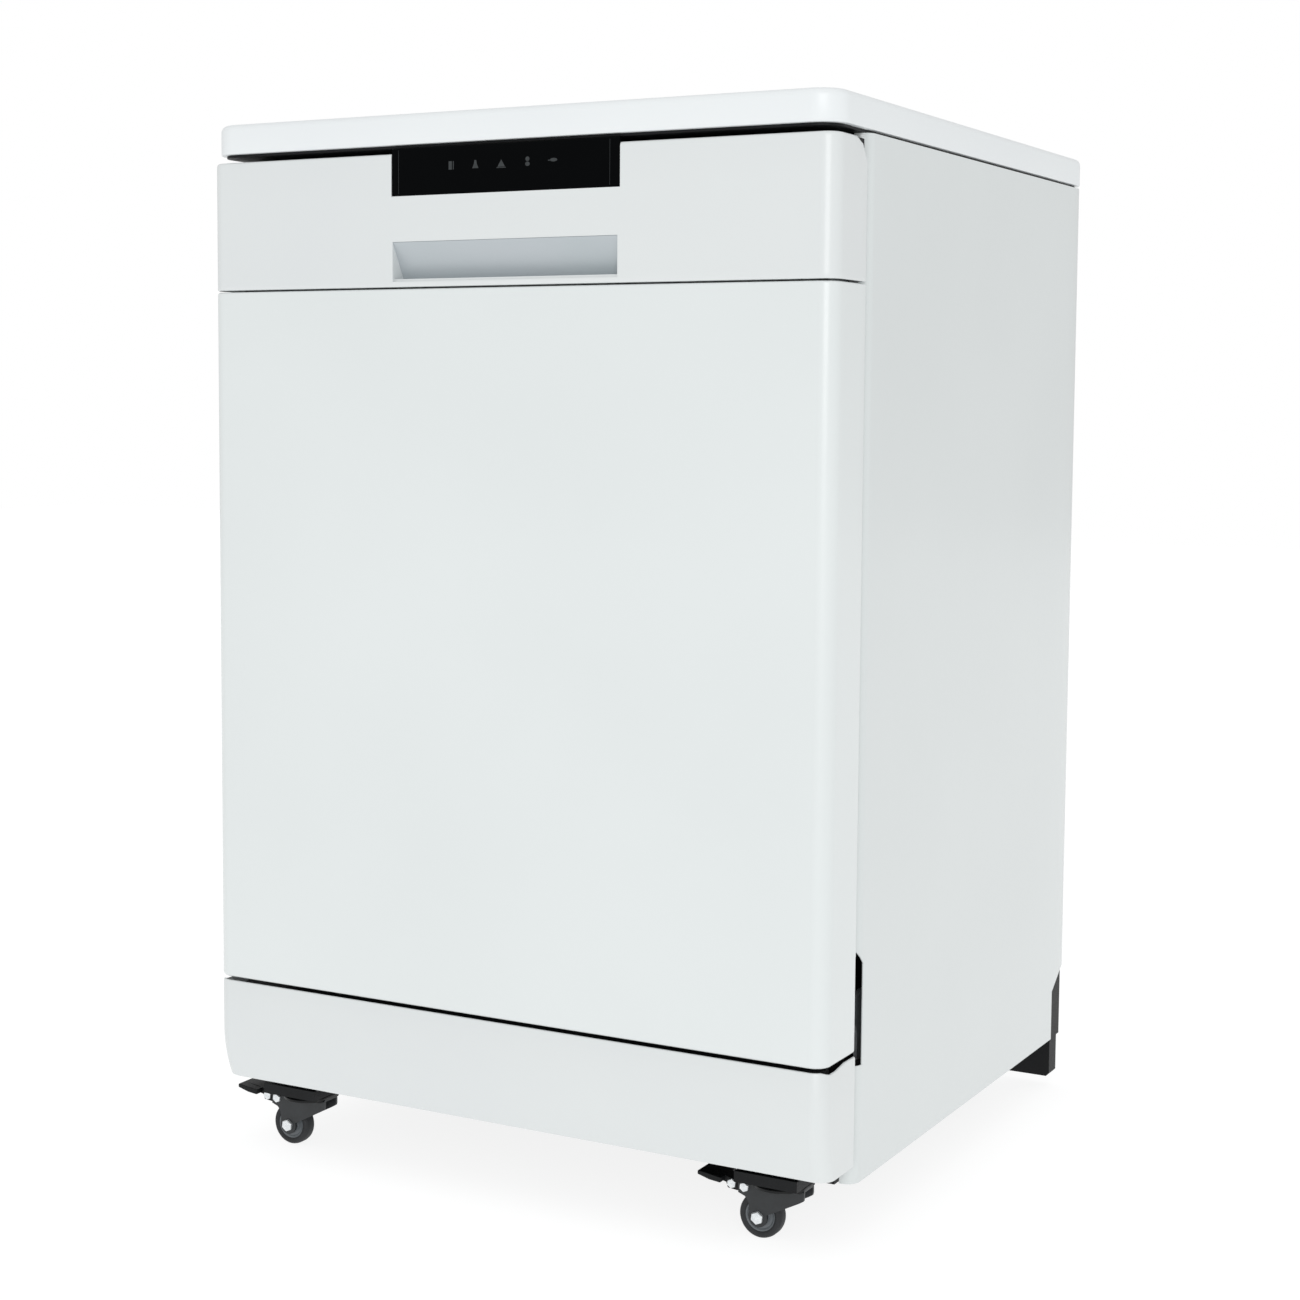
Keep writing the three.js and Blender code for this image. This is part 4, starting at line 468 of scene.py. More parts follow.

# ------------------------------------------------------------------ worktop
# One moulded slab of white laminate-look plastic, round at its four corners and along its top edge. It is
# screwed down from below; under its edge runs a narrower black strip, which is painted shadow for the dark line
# all round.

TOP_HALF_X, TOP_HALF_Y, TOP_CORNER = 299.0, 300.0, 24.0
TOP_LOW, TOP_HIGH = 889.0, 917.0
TOP_EDGE = 6.0
SHADOW_STRIP_INSET, SHADOW_STRIP_HEIGHT = 4.8, 2.0

# Moulded top: brighter than the enamel, with a finer grain and less of a gloss coat.
white_worktop = finish("white_moulded_worktop", ("#e2e6e8", "#e5e9ea"), 300, (0.3, 0.36), 3.0, 0.006,
                       Coat_Weight=0.1, Coat_Roughness=0.25)

top_ring, top_normal = rounded_ring(TOP_HALF_X, TOP_HALF_Y, TOP_CORNER, steps=14)
top_arc = np.linspace(0, np.pi / 2, 9)
slab_low = TOP_LOW + SHADOW_STRIP_HEIGHT
top_levels = [(1.0, slab_low), (0.3, slab_low + 0.3), (0, slab_low + 1)]
top_levels += list(zip(TOP_EDGE * (1 - np.cos(top_arc)), TOP_HIGH - TOP_EDGE * (1 - np.sin(top_arc))))
make("cabinet_worktop", [slab(top_ring, top_normal, top_levels)], "cabinet", white_worktop,
     ["worktop"])
# The black strip under the top's edge is painted shadow: it stands in for the dark shadow line there.
shadow_strip_levels = [(SHADOW_STRIP_INSET + 0.2, TOP_LOW - 0.2), (SHADOW_STRIP_INSET, TOP_LOW), (SHADOW_STRIP_INSET, slab_low + 0.1)]
make("worktop_painted_shadow_strip", [slab(top_ring, top_normal, shadow_strip_levels)], "cabinet",
     black_polypropylene)

# ------------------------------------------------------------------ rear panel and service fittings
# Zinc-plated sheet steel behind the machine with two pressed ribs, and through it the hose connector with its
# two spigots and the empty cable gland.

# Zinc-plated sheet: cool grey metal with a faint spangle 8 mm across.
zinc_sheet = finish("zinc_plated_sheet", ("#b0b5b8", "#babfc2"), 8, (0.38, 0.48), 1.5, 0.004, Metallic=0.9)
# Grey polypropylene of the inner mouldings: matt, slightly mottled.
grey_polypropylene = finish("moulded_grey_polypropylene", ("#82888b", "#8c9295"), 30, (0.42, 0.55), 0.9, 0.02)

dress(zinc_sheet, "rear_panel", "left_hinge_bracket", "right_hinge_bracket", "left_hinge_arm",
      "right_hinge_arm", "left_door_spring", "right_door_spring", "latch_keeper")
dress(grey_polypropylene, "hose_connector", "sump", "filter")
dress(black_polypropylene, "cable_gland", "circulation_pump", "drain_pump", "door_latch")

# Hexagon washer-head screws hold the rear panel to the cabinet's sides and to the base.
REAR_FACE = 279.9
SCREW_SEAT = (0, REAR_FACE, 0)
SCREW_SIDE, SCREW_TOP, SCREW_BASE = 275, 862, 166
screw_washer = turned([(0, 0), (5.0, 0), (5.0, 0.5), (4.3, 1.0), (0, 1.0)], 1, SCREW_SEAT, 28)
screw_head = turned([(0, 0.9), (3.5, 0.9), (3.5, 2.4), (3.0, 2.9), (1.2, 3.0), (0, 2.6)], 1, SCREW_SEAT, 6)
screw_places = [(x, z) for x in (-SCREW_SIDE, SCREW_SIDE) for z in (190, 360, 530, 700, SCREW_TOP)]
screw_places += [(x, SCREW_TOP) for x in (-140, 0, 140)] + [(x, SCREW_BASE) for x in (-200, -40, 40, 200)]
make("rear_panel_screws",
     [moved(part, by=(x, 0, z)) for x, z in screw_places for part in (screw_washer, screw_head)],
     "cabinet", zinc_bolt)

# ------------------------------------------------------------------ kick plate
# A white moulded cover under the door, clipped to two tabs of the base. It has the door's rounded upright
# edges and curves back by 11 mm towards its foot.

COVER_SIDE, COVER_FACE, COVER_BACK = 299.0, -300.0, -240.0
COVER_CORNER, COVER_FLANGE, FLANGE_BEND = 14.0, 14.4, 2.0
KICK_LOW, KICK_HIGH, KICK_BEND = 68.0, 156.5, 116.5
KICK_SETBACK = 11.0
KICK_RISE = 2.5
HINGE_Y, HINGE_Z, TOE_SWEEP = -280.0, 192.0, 36.2

# White moulding of the fascia and the kick plate: a shade darker than the enamel, with a finer grain.
white_abs = finish("white_moulded_abs", ("#d6dadb", "#d9dddd"), 240, (0.3, 0.37), 2.2, 0.005,
                   Coat_Weight=0.4, Coat_Roughness=0.18)


def cover_plan(stops=(), flange=0.0):
    """Plan of a cover on the cabinet's front as one line, from its left rear edge round both corners to its
    right rear edge, as points and outward normals. stops are places across the face that need a line of
    points, and flange is how far the rear edges turn inwards."""
    arc = np.linspace(0, np.pi / 2, 13)
    centre = np.array([COVER_SIDE - COVER_CORNER, COVER_FACE + COVER_CORNER])
    corner_normal = np.stack([np.sin(arc), -np.cos(arc)], -1)
    corner = centre + COVER_CORNER * corner_normal
    side_y = np.linspace(COVER_FACE + COVER_CORNER, COVER_BACK - FLANGE_BEND, 6)[1:]
    half = [corner, np.stack([np.full(5, COVER_SIDE), side_y], -1)]
    half_normal = [corner_normal, np.tile([1.0, 0.0], (5, 1))]
    if flange:
        bend_normal = np.stack([np.cos(arc[::3]), np.sin(arc[::3])], -1)[1:]
        half += [np.array([COVER_SIDE - FLANGE_BEND, COVER_BACK - FLANGE_BEND]) + FLANGE_BEND * bend_normal,
                 np.array([[COVER_SIDE - flange, COVER_BACK]])]
        half_normal += [bend_normal, np.array([[0.0, 1.0]])]
    else:
        half.append(np.array([[COVER_SIDE, COVER_BACK]]))
        half_normal.append(np.array([[1.0, 0.0]]))
    right, right_normal = np.concatenate(half), np.concatenate(half_normal)
    face = np.unique(np.concatenate([np.linspace(-centre[0], centre[0], 15), np.array(stops, float)]))[1:-1]
    line = np.concatenate([right[::-1] * (-1, 1), np.stack([face, np.full(len(face), COVER_FACE)], -1), right])
    normal = np.concatenate([right_normal[::-1] * (-1, 1), np.tile([0.0, -1.0], (len(face), 1)), right_normal])
    return line, normal


def cover_skin(line, normal, section, setback=None, keep=None):
    """The cover's outer skin: plan point minus normal times the section's inset, at the section's height.
    setback pushes the face back at a height, and less and less along the sides towards the rear."""
    inset, height = np.array(section, float).T
    flat = line[:, None, :] - normal[:, None, :] * inset[None, :, None]
    if setback is not None:
        rear = COVER_BACK - FLANGE_BEND
        share = np.clip((rear - line[:, 1]) / (rear - COVER_FACE - COVER_CORNER), 0, 1)
        flat = flat + np.stack([np.zeros_like(share), share], -1)[:, None, :] * setback(height)[None, :, None]
    points = np.concatenate([flat, np.broadcast_to(height, flat.shape[:2])[..., None]], -1)
    return lattice(points, keep)


def front_only(line, cells, returns):
    """A mask that keeps the turned-in rows of a section only behind the face, so hinges pass at the sides."""
    keep = np.ones((len(line) - 1, cells), bool)
    middle = (line[1:, 0] + line[:-1, 0]) / 2
    for row in returns:
        keep[:, row] = np.abs(middle) < COVER_SIDE - COVER_CORNER
    return keep


kick_line, kick_normal = cover_plan()
kick_heights = np.linspace(KICK_LOW + 0.8, KICK_BEND, 12)
kick_section = [(9, KICK_LOW), (0.8, KICK_LOW), (0, KICK_LOW + 0.8)] + [(0, z) for z in kick_heights[1:]]
kick_section += [(0, KICK_HIGH - 1.5), (0.4, KICK_HIGH - 0.4), (1.5, KICK_HIGH)]
kick_setback = lambda z: KICK_SETBACK * (np.clip(KICK_BEND - z, 0, None) / (KICK_BEND - KICK_LOW)) ** 2
kick_skin = cover_skin(kick_line, kick_normal, kick_section, kick_setback)
# Its face reaches up close to the door. At the corners and sides its edge stays clear of the door's toe,
# which turns about the hinge: pivot - sqrt(sweep^2 - (y - pivot)^2).
toe_path = HINGE_Z - np.sqrt(TOE_SWEEP ** 2 - np.minimum(kick_skin[0][:, 1] - HINGE_Y, 20) ** 2)
on_edge = kick_skin[0][:, 2] > KICK_HIGH - 2
kick_skin[0][:, 2] += np.where(on_edge, np.clip(toe_path - KICK_HIGH, 0, KICK_RISE), 0)
make("kick_cover", [kick_skin], "cabinet", white_abs, ["kick_plate"], wall=2.6, bevel=0.3,
     closed=False)

# ------------------------------------------------------------------ door skin
# White enamelled steel, folded round both upright edges and turned in all round. It hangs on two hinge arms
# and is clipped over the stainless liner.

DOOR_LOW, DOOR_HIGH = 162.0, 772.0
DOOR_CURL, DOOR_TOP_CURL = 3.0, 2.0
LOWER_RETURN, UPPER_RETURN = 11.0, 9.0
HINGE_CLEAR = 240.0

door_line, door_normal = cover_plan(flange=COVER_FLANGE)
curl = np.linspace(0, np.pi / 2, 7)
low_curl = zip(DOOR_CURL * (1 - np.sin(curl)), DOOR_LOW + DOOR_CURL * (1 - np.cos(curl)))
high_curl = zip(DOOR_TOP_CURL * (1 - np.cos(curl[1:])), DOOR_HIGH - DOOR_TOP_CURL * (1 - np.sin(curl[1:])))
door_section = [(LOWER_RETURN, DOOR_LOW), *low_curl]
low_rows = len(door_section)
door_section += [(0, z) for z in np.linspace(HINGE_CLEAR, DOOR_HIGH - DOOR_TOP_CURL, 9)]
door_section += [*high_curl, (UPPER_RETURN, DOOR_HIGH)]
door_keep = front_only(door_line, len(door_section) - 1, (0,))
# Below HINGE_CLEAR the turned-in rear edges, five cells at each end of the line, make way for the hinges.
door_keep[:5, :low_rows] = False
door_keep[-5:, :low_rows] = False
make("door_skin", [cover_skin(door_line, door_normal, door_section, keep=door_keep)], "door",
     white_enamel, ["door_outer_panel"], wall=1.2, bevel=0.25, closed=False)

# ------------------------------------------------------------------ control fascia
# The door's moulded top strip, screwed to the liner. It has an opening for the display at its top edge and,
# above its lower lip, a wedge-shaped grip pocket that is deepest at the bottom. The pocket's cheeks and floor
# are of one piece with it.

FASCIA_LOW, FASCIA_HIGH = 773.5, 884.0
DISPLAY_LEFT, DISPLAY_RIGHT, DISPLAY_LOW, DISPLAY_HIGH = -106.6, 112.0, 849.0, 888.0
POCKET_LEFT, POCKET_RIGHT, POCKET_LOW, POCKET_HIGH = -108.0, 112.5, 778.0, 811.0
POCKET_DEPTH = 18.0
SEAM = 0.3
WALL_FRONT, WALL_BACK, WALL_SIDE = -262.0, -240.5, 283.0

fascia_line, fascia_normal = cover_plan(
    (DISPLAY_LEFT - SEAM, DISPLAY_RIGHT + SEAM, POCKET_LEFT, POCKET_RIGHT), flange=COVER_FLANGE)
fascia_section = [(LOWER_RETURN, FASCIA_LOW), (0.8, FASCIA_LOW), (0.2, FASCIA_LOW + 0.3), (0, FASCIA_LOW + 0.9),
                  (0, POCKET_LOW), (0, POCKET_HIGH), (0, DISPLAY_LOW - SEAM), (0, FASCIA_HIGH - 3),
                  (0.3, FASCIA_HIGH - 1.7), (0.9, FASCIA_HIGH - 0.8), (1.8, FASCIA_HIGH - 0.2),
                  (3, FASCIA_HIGH)]
fascia_keep = front_only(fascia_line, len(fascia_section) - 1, (0,))
across = (fascia_line[1:, 0] + fascia_line[:-1, 0]) / 2
on_face = fascia_normal[1:, 1] + fascia_normal[:-1, 1] < -1.9
over_pocket = on_face & (across > POCKET_LEFT) & (across < POCKET_RIGHT)
over_display = on_face & (across > DISPLAY_LEFT - SEAM) & (across < DISPLAY_RIGHT + SEAM)
fascia_keep[np.ix_(over_pocket, [4])] = False
fascia_keep[np.ix_(over_display, range(6, 11))] = False
fascia_skin = cover_skin(fascia_line, fascia_normal, fascia_section, keep=fascia_keep)
# Both side flanges are cut away at their rear top corner, where black blocks show; the blocks are painted shade
# for the dark corner behind the door's edge.
corner_cut_edge = np.interp(fascia_skin[0][:, 1], [-260, -250, -240], [FASCIA_HIGH, 878, 862])
fascia_skin[0][:, 2] = np.minimum(fascia_skin[0][:, 2], corner_cut_edge)

pocket_stops = fascia_line[(fascia_line[:, 1] == COVER_FACE) & (fascia_line[:, 0] >= POCKET_LEFT)
                           & (fascia_line[:, 0] <= POCKET_RIGHT), 0]
pocket_floor = [(COVER_FACE, POCKET_LOW), (COVER_FACE + 3, POCKET_LOW), (COVER_FACE + 5, POCKET_LOW - 1),
                (COVER_FACE + POCKET_DEPTH + 2, POCKET_LOW - 1)]
floor_y, floor_z = np.array(pocket_floor).T
floor_points = stacked(pocket_stops, floor_y[:, None], floor_z[:, None])
cheek = [(COVER_FACE, POCKET_HIGH), *pocket_floor, (COVER_FACE + 2, POCKET_HIGH)]
left_cheek = plate([(POCKET_LEFT, y, z) for y, z in cheek][::-1])
right_cheek = plate([(POCKET_RIGHT, y, z) for y, z in cheek])
make("fascia_moulding", [together(fascia_skin, lattice(floor_points)), left_cheek, right_cheek], "door",
     white_abs, ["control_fascia"], wall=2.2, bevel=0.25, closed=False)

# Its top wall closes the strip under the worktop and holds the latch.
lid_ring = (fascia_line - fascia_normal * 3.2)[fascia_line[:, 1] < WALL_FRONT]
lid_points = [(-WALL_SIDE, WALL_BACK), (-WALL_SIDE, WALL_FRONT), *lid_ring.tolist(), (WALL_SIDE, WALL_FRONT),
              (WALL_SIDE, WALL_BACK)]
make("fascia_top_wall", [closed_extrusion(lid_points, 2, FASCIA_HIGH - 2.6, FASCIA_HIGH - 0.05)], "door",
     white_abs)

# The black blocks at the fascia's rear top corners are painted shade: they stand in for the shadow there.
shade_block = closed_extrusion([(-261, 856), (-241.5, 856), (-241.5, 883.4), (-261, 883.4)], 0, 284.5, 296.2)
make("fascia_painted_shade_blocks", [shade_block, moved(shade_block, (-1, 1, 1))], "door", black_polypropylene,
     bevel=0.4)

# ------------------------------------------------------------------ grip plate
# A silver-painted plastic strip that closes the pocket's sloping back.

# Silver paint on plastic: cool mid grey with a fine metallic grain.
silver_paint = finish("silver_painted_abs", ("#b1babd", "#babfc4"), 160, (0.34, 0.46), 0.7, 0.006,
                      Metallic=0.25)

grip_share = np.linspace(0, 1, 9)
grip_y = COVER_FACE + 0.4 + (POCKET_DEPTH - 0.6) * grip_share
grip_z = POCKET_HIGH - SEAM + (POCKET_LOW - 1 + 2 * SEAM - POCKET_HIGH) * grip_share
grip_x = np.linspace(POCKET_LEFT + SEAM, POCKET_RIGHT - SEAM, 12)
grip_points = stacked(grip_x[:, None], grip_y, grip_z)
make("grip_plate", [lattice(grip_points[::-1])], "door", silver_paint, ["handle_pocket"],
     wall=1.5, bevel=0.2, closed=False)

# ------------------------------------------------------------------ display
# A black acrylic window with small grey printed symbols over the lamps behind it, glued into the fascia.

# Gloss acrylic: near black, mirror smooth, with a faint unevenness from moulding.
black_acrylic = finish("gloss_black_acrylic", ("#040506", "#050607"), 60, (0.06, 0.1), 30.0, 0.004,
                       Specular_IOR_Level=0.03)
# Screen-printed ink: a dim grey that barely stands out.
grey_ink = finish("grey_screen_ink", ("#1f2426", "#2b3032"), 4, (0.4, 0.5), 0.8, 0.002)

window_ring, window_normal = rounded_ring((DISPLAY_RIGHT - DISPLAY_LEFT) / 2, (DISPLAY_HIGH - DISPLAY_LOW) / 2,
                                          radius=0.6, steps=3)
window = slab(window_ring, window_normal, [(0.4, 0), (0, 0.4), (0, 3.0)])
window_points = window[0][:, [0, 2, 1]] + np.array([(DISPLAY_LEFT + DISPLAY_RIGHT) / 2, COVER_FACE + 0.02,
                                                    (DISPLAY_LOW + DISPLAY_HIGH) / 2])
make("display_glass", [(window_points, window[1], window[2])], "door", black_acrylic,
     ["display_window"])


def mark(outline, x, z):
    """A printed shape 0.05 mm proud of the glass."""
    ring = np.array(outline, float) + (x, z)
    return closed_extrusion(ring, 1, COVER_FACE - 0.03, COVER_FACE + 0.05)


def disc(radius, x=0.0, z=0.0, squeeze=1.0):
    """An ellipse's outline: x + radius * cos a, z + squeeze * radius * sin a."""
    angle = np.linspace(0, 2 * np.pi, 17)[:-1]
    return np.stack([x + radius * np.cos(angle), z + squeeze * radius * np.sin(angle)], -1)


def bar(x0, x1, z0, z1):
    """A rectangle's outline."""
    return [(x0, z0), (x1, z0), (x1, z1), (x0, z1)]


SYMBOL_ROW, LINE_MIDDLE = 872, 868.5
symbols = [mark(outline, x, SYMBOL_ROW) for x, outline in (
    (-47, bar(-2.6, 0.6, -3.4, 3.4)),
    (-47, bar(1.6, 2.4, -3.4, 3.4)),
    (-23.5, [(-3, -3.2), (3, -3.2), (1.4, 0.4), (0.9, 3.4), (-0.9, 3.4), (-1.4, 0.4)]),
    (1.5, [(-3.6, -3.0), (3.6, -3.0), (0, 2.8)]),
    (1.5, bar(-4.4, 4.4, -4.0, -3.4)),
    (26.5, disc(1.9, 0, 2.2)),
    (26.5, disc(2.2, 0, -1.8, 0.8)),
    (50.5, disc(3.4, 0.6, 0.4, 0.42)),
    (50.5, bar(-4.6, -2.4, -0.2, 0.6)),
)]
symbols += [mark(bar(-0.12, 0.12, -18, 18), x, LINE_MIDDLE) for x in (-99.5, 103)]
make("display_symbols", symbols, "door", grey_ink)

# ------------------------------------------------------------------ tub, liner and seals
# The wash tub and the door's inner liner are pressed from stainless sheet with a fine brushed grain; a black
# rubber gasket lies round the tub's mouth and a lipped seal under its sill.

# Brushed stainless steel: bright, with grain lines along the width, a little coarser than real ones.
brushed_stainless = finish("brushed_stainless", ("#c3c7c8", "#cbcfd0"), 40, (0.24, 0.31), 0.7, 0.0012,
                           stretch=(0.04, 0.04, 1.0), Metallic=1.0)
# Soft EPDM rubber: deep grey-black, matt.
soft_rubber = finish("soft_epdm_rubber", ("#1a1c1e", "#232527"), 15, (0.6, 0.75), 0.7, 0.02)

# A black rubber strip behind the kick plate's top edge closes the gap under the door, whose toe swings over it.
# It is painted shade: its black stands in for the shadow in that gap.
TOE_STRIP_HALF = 285
toe_profile = [(-297, 150), (-297, 153), (-262.5, 153), (-262.5, 157), (-259.5, 157), (-259.5, 142),
               (-262.5, 142), (-262.5, 150)]
make("toe_painted_shade_strip", [closed_extrusion(toe_profile, 0, -TOE_STRIP_HALF, TOE_STRIP_HALF)], "cabinet",
     soft_rubber, bevel=0.4)

dress(brushed_stainless, "tub", "door_inner_liner", "left_rail_bracket", "right_rail_bracket", "left_rack_rail",
      "right_rack_rail")
dress(soft_rubber, "door_gasket", "bottom_seal")
dress(grey_polypropylene, "detergent_dispenser", "dispenser_lid", "lower_spray_arm", "upper_spray_arm")
dress(black_polypropylene, "rinse_aid_cap")

# ------------------------------------------------------------------ wire racks
# Both racks are welded from drawn steel wire and dipped in grey nylon: U-bent wires both ways, a thicker rim,
# a belt half-way up the lower one and rows of prongs that hold plates. The upper one hangs between two
# zinc-plated tracks.

RACK_SIDE, RACK_PITCH = 249.0, 80.0 / 3
RACK_MARGIN, RACK_CORNER, SIDE_LEAN, WIRE_BEND = 60.0, 16.0, 6.0, 10.0
WIRE, RIM_WIRE, BELT_WIRE, AXLE_WIRE = 1.6, 2.8, 2.4, 2.6
TRACK_IN, TRACK_OUT, TRACK_LOW, TRACK_HIGH = 246.0, 260.0, 638.0, 670.0

# Nylon-coated wire: cool light grey with the soft shine of a dipped coat.
coated_wire = finish("nylon_coated_wire", ("#8e9497", "#9aa0a3"), 30, (0.3, 0.42), 2.0, 0.01)


def bent(corners, bend, steps=5):
    """A path through corners, each inner one rounded by a parabola that starts bend before it and ends bend
    after: (1-t)^2 * before + 2t(1-t) * corner + t^2 * after."""
    corners = np.asarray(corners, float)
    t = np.linspace(0, 1, steps)[None, :, None]
    leg = corners[1:] - corners[:-1]
    leg /= np.linalg.norm(leg, axis=1, keepdims=True)
    middle = corners[1:-1, None, :]
    before, after = middle - bend * leg[:-1, None, :], middle + bend * leg[1:, None, :]
    arcs = (1 - t) ** 2 * before + 2 * t * (1 - t) * middle + t ** 2 * after
    return np.concatenate([corners[:1], arcs.reshape(-1, 3), corners[-1:]])


def round_wire(path, flat, radius, closed=False, sides=8):
    """A round wire along a path that lies in a plane with the normal flat: path + radius * (cos a * flat +
    sin a * tangent x flat). An open one has its ends closed to a point, a closed one joins up."""
    path, flat = np.asarray(path, float), np.asarray(flat, float)
    if closed:
        path = np.concatenate([path[-1:], path, path[:2]])
    tangent = np.gradient(path, axis=0)
    tangent /= np.linalg.norm(tangent, axis=1, keepdims=True)
    aside = np.cross(tangent, flat)
    angle = np.linspace(0, 2 * np.pi, sides + 1)
    across = np.cos(angle)[:, None, None] * flat + np.sin(angle)[:, None, None] * aside[None]
    if closed:
        return lattice((path + radius * across)[:, 1:-1])
    path = np.concatenate([path[:1], path, path[-1:]])
    across = np.concatenate([across[:, :1] * 0, across, across[:, -1:] * 0], 1)
    return lattice(path + radius * across)


def wire_basket(front, back, floor, height, lean, rows, prong):
    """The wires of one rack. Bends and places are those of the solids, with two more wires between each two."""
    top, high = floor + height, floor + 1.7 * WIRE
    across_count = 3 * int((back - front - RACK_MARGIN) // (3 * RACK_PITCH))
    across_y = (front + back) / 2 + RACK_PITCH * (np.arange(across_count + 1) - across_count / 2)
    along_count = 3 * int((2 * RACK_SIDE - RACK_MARGIN) // (3 * RACK_PITCH))
    along_x = RACK_PITCH * (np.arange(along_count + 1) - along_count / 2)
    low_side = RACK_SIDE - SIDE_LEAN
    wires = [round_wire(bent([(-RACK_SIDE, y, top), (-low_side, y, floor), (low_side, y, floor),
                              (RACK_SIDE, y, top)], WIRE_BEND), (0, 1, 0), WIRE) for y in across_y]
    wires += [round_wire(bent([(x, front, top), (x, front + lean, high), (x, back - SIDE_LEAN, high),
                               (x, back, top)], WIRE_BEND), (1, 0, 0), WIRE) for x in along_x]
    ring, _ = rounded_ring(RACK_SIDE, (back - front) / 2, RACK_CORNER, 6, (0, (front + back) / 2))
    wires.append(round_wire(np.insert(ring, 2, top, axis=1), (0, 0, 1), RIM_WIRE, closed=True, sides=10))
    wires += [round_wire(bent([(x, y, high), (x, y, high + 0.5 * prong), (x + 4, y, high + prong)], 8),
                         (0, 1, 0), WIRE) for x in rows for y in (across_y[1:] + across_y[:-1]) / 2]
    return wires


LOWER_FRONT, LOWER_BACK, LOWER_FLOOR = -182.0, 246.0, 264.0
BELT_SIDE, BELT_RISE = 247.0, 58.0
WHEEL_ROWS = {"front": -120.0, "rear": 196.0}
RACK_WHEEL_X, RACK_WHEEL_Z = 262.0, 257.8

lower_wires = wire_basket(LOWER_FRONT, LOWER_BACK, LOWER_FLOOR, height=118, lean=-10, rows=(-120, -40, 40),
                          prong=72)
belt, _ = rounded_ring(BELT_SIDE, (LOWER_BACK - LOWER_FRONT + 5) / 2, 14, 6,
                       (0, (LOWER_FRONT + LOWER_BACK) / 2 - 3.5))
lower_wires.append(round_wire(np.insert(belt, 2, LOWER_FLOOR + BELT_RISE, axis=1), (0, 0, 1), BELT_WIRE,
                              closed=True))
axle_post = round_wire([(BELT_SIDE, 0, RACK_WHEEL_Z - 3), (BELT_SIDE, 0, LOWER_FLOOR + BELT_RISE + 2)],
                       (0, 1, 0), AXLE_WIRE)
axle_stub = turned([(0, 244.5), (3.0, 244.5), (3.0, 265.6), (2.4, 266.3), (0, 266.3)], 0,
                   (0, 0, RACK_WHEEL_Z), 20)
lower_wires += [moved(part, (sign, 1, 1), (0, y, 0)) for sign in (-1, 1) for y in WHEEL_ROWS.values()
                for part in (axle_post, axle_stub)]
make("lower_rack_wires", lower_wires, "lower_rack", coated_wire, ["lower_rack"], angle=50)

upper_wires = wire_basket(front=-214.0, back=240.0, floor=566.0, height=112, lean=6, rows=(-120, 40, 200),
                          prong=60)
make("upper_rack_wires", upper_wires, "upper_rack", coated_wire, ["upper_rack"], angle=50)

track_side = [(TRACK_OUT, TRACK_LOW), (TRACK_OUT, 648), (TRACK_OUT - 2, 648), (TRACK_OUT - 2, TRACK_LOW + 2),
              (TRACK_IN + 2, TRACK_LOW + 2), (TRACK_IN + 2, TRACK_HIGH - 2), (TRACK_OUT - 2, TRACK_HIGH - 2),
              (TRACK_OUT - 2, 660), (TRACK_OUT, 660), (TRACK_OUT, TRACK_HIGH), (TRACK_IN, TRACK_HIGH),
              (TRACK_IN, TRACK_LOW)]
right_track = closed_extrusion(track_side, 1, -211.5, 237.5)
make("upper_rack_tracks", [right_track, moved(right_track, (-1, 1, 1))], "upper_rack",
     zinc_sheet, bevel=0.4)

# The upper spray arm hangs under the rack on a moulded pipe that takes its water from the back of the tub.
ARM_Y, PIPE_Z, PIPE_END, PIPE_RADIUS = 16, 563, 252, 7.0
pipe_run = round_wire(bent([(0, ARM_Y, PIPE_Z - 8), (0, ARM_Y, PIPE_Z), (0, PIPE_END, PIPE_Z)], 7.9, 7),
                      (1, 0, 0), PIPE_RADIUS, sides=20)
pipe_hub = turned([(0, 553), (14, 553), (15, 554), (15, 560), (14, 561), (0, 561)], 2, (0, ARM_Y, 0), 40)
spindle = turned([(0, 530), (7.2, 530), (8, 530.8), (8, 533), (5, 533), (5, 557), (0, 557)], 2,
                 (0, ARM_Y, 0), 32)
make("upper_feed_pipe", [pipe_run, pipe_hub, spindle], "upper_rack", grey_polypropylene)

# Rack wheels: moulded discs with a rounded tread and a dished face.
tread_side = [(3.5, -4.5), (6.5, -4.5), (7.4, -3.4), (12.6, -3.4), (13.8, -4.5), (16.2, -4.5), (17, -3.7)]
rack_tread = turned(both_ways(tread_side), 0, (RACK_WHEEL_X, 0, RACK_WHEEL_Z), 48)
for row, y in WHEEL_ROWS.items():
    for side, sign in (("left", -1), ("right", 1)):
        make(f"rack_wheel_{row}_{side}_tread", [moved(rack_tread, (sign, 1, 1), (0, y, 0))],
             f"rack_wheel_{row}_{side}", grey_polypropylene, [f"rack_wheel_{row}_{side}"],
             bevel=0.2)

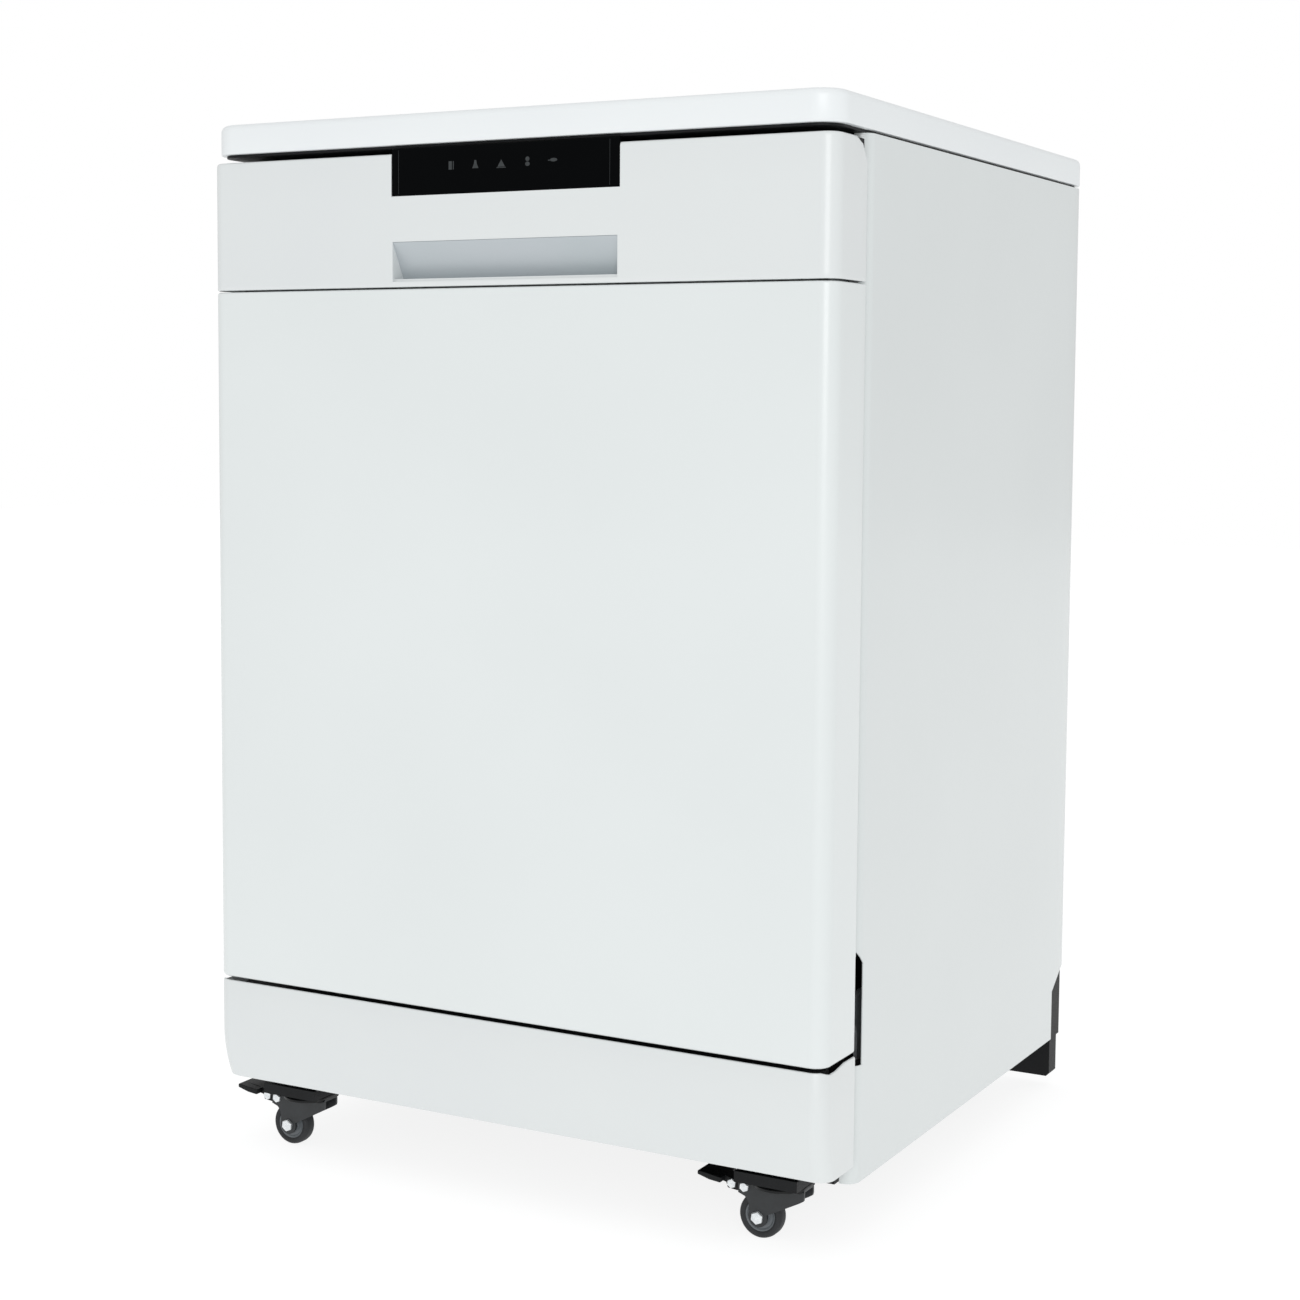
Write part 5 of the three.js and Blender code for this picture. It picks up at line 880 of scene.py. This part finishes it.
# ------------------------------------------------------------------ cutlery basket
# A moulded grey basket that stands on the lower rack's floor. Its walls and floor are open grids with a
# thicker rim, and a closed wall divides it in two.

BASKET_X, BASKET_Y, BASKET_Z = (108.2, 187.8), (-109.8, 129.8), (268.9, 388.9)
BASKET_RIM, BASKET_BAR, TOP_RIM = 5.0, 3.0, 8.0
DIVISION_Y = 10.0


def grid_wall(u, v, place, outward=1):
    """A wall from a lattice of posts and openings: u and v hold the edges of the bars in turn, so every cell
    with both indices odd is a hole. place turns (u, v) into points, and outward -1 turns the faces round."""
    keep = np.ones((len(u) - 1, len(v) - 1), bool)
    keep[1::2, 1::2] = False
    points, quads, rings = lattice(place(*np.meshgrid(u, v, indexing="ij")), keep)
    return points, quads[:, ::outward], rings


def bar_edges(low, high, count, rim, bar_width):
    """Edges of the bars of a grid: a rim at each end and count openings of equal size between them."""
    hole = (high - low - 2 * rim - (count - 1) * bar_width) / count
    starts = low + rim + (hole + bar_width) * np.arange(count)
    return np.concatenate([[low], np.stack([starts, starts + hole], 1).ravel(), [high]])


bars_x = bar_edges(*BASKET_X, 4, BASKET_RIM, BASKET_BAR)
bars_y = bar_edges(*BASKET_Y, 14, BASKET_RIM, BASKET_BAR)
bars_z = bar_edges(*BASKET_Z, 6, BASKET_RIM, BASKET_BAR)
bars_z[-2] = BASKET_Z[1] - TOP_RIM
basket_shell = together(
    grid_wall(bars_y, bars_z, lambda u, v: stacked(BASKET_X[1], u, v)),
    grid_wall(bars_y, bars_z, lambda u, v: stacked(BASKET_X[0], u, v), -1),
    grid_wall(bars_x, bars_z, lambda u, v: stacked(u, BASKET_Y[0], v)),
    grid_wall(bars_x, bars_z, lambda u, v: stacked(u, BASKET_Y[1], v), -1),
    grid_wall(bars_x, bars_y, lambda u, v: stacked(u, v, BASKET_Z[0]), -1),
)
division = lattice(stacked(bars_x[:, None], DIVISION_Y, np.array(BASKET_Z)[None, :]))
make("cutlery_grid", [basket_shell, division], "lower_rack", grey_polypropylene,
     ["cutlery_basket"], wall=2.2, bevel=0.3, closed=False)
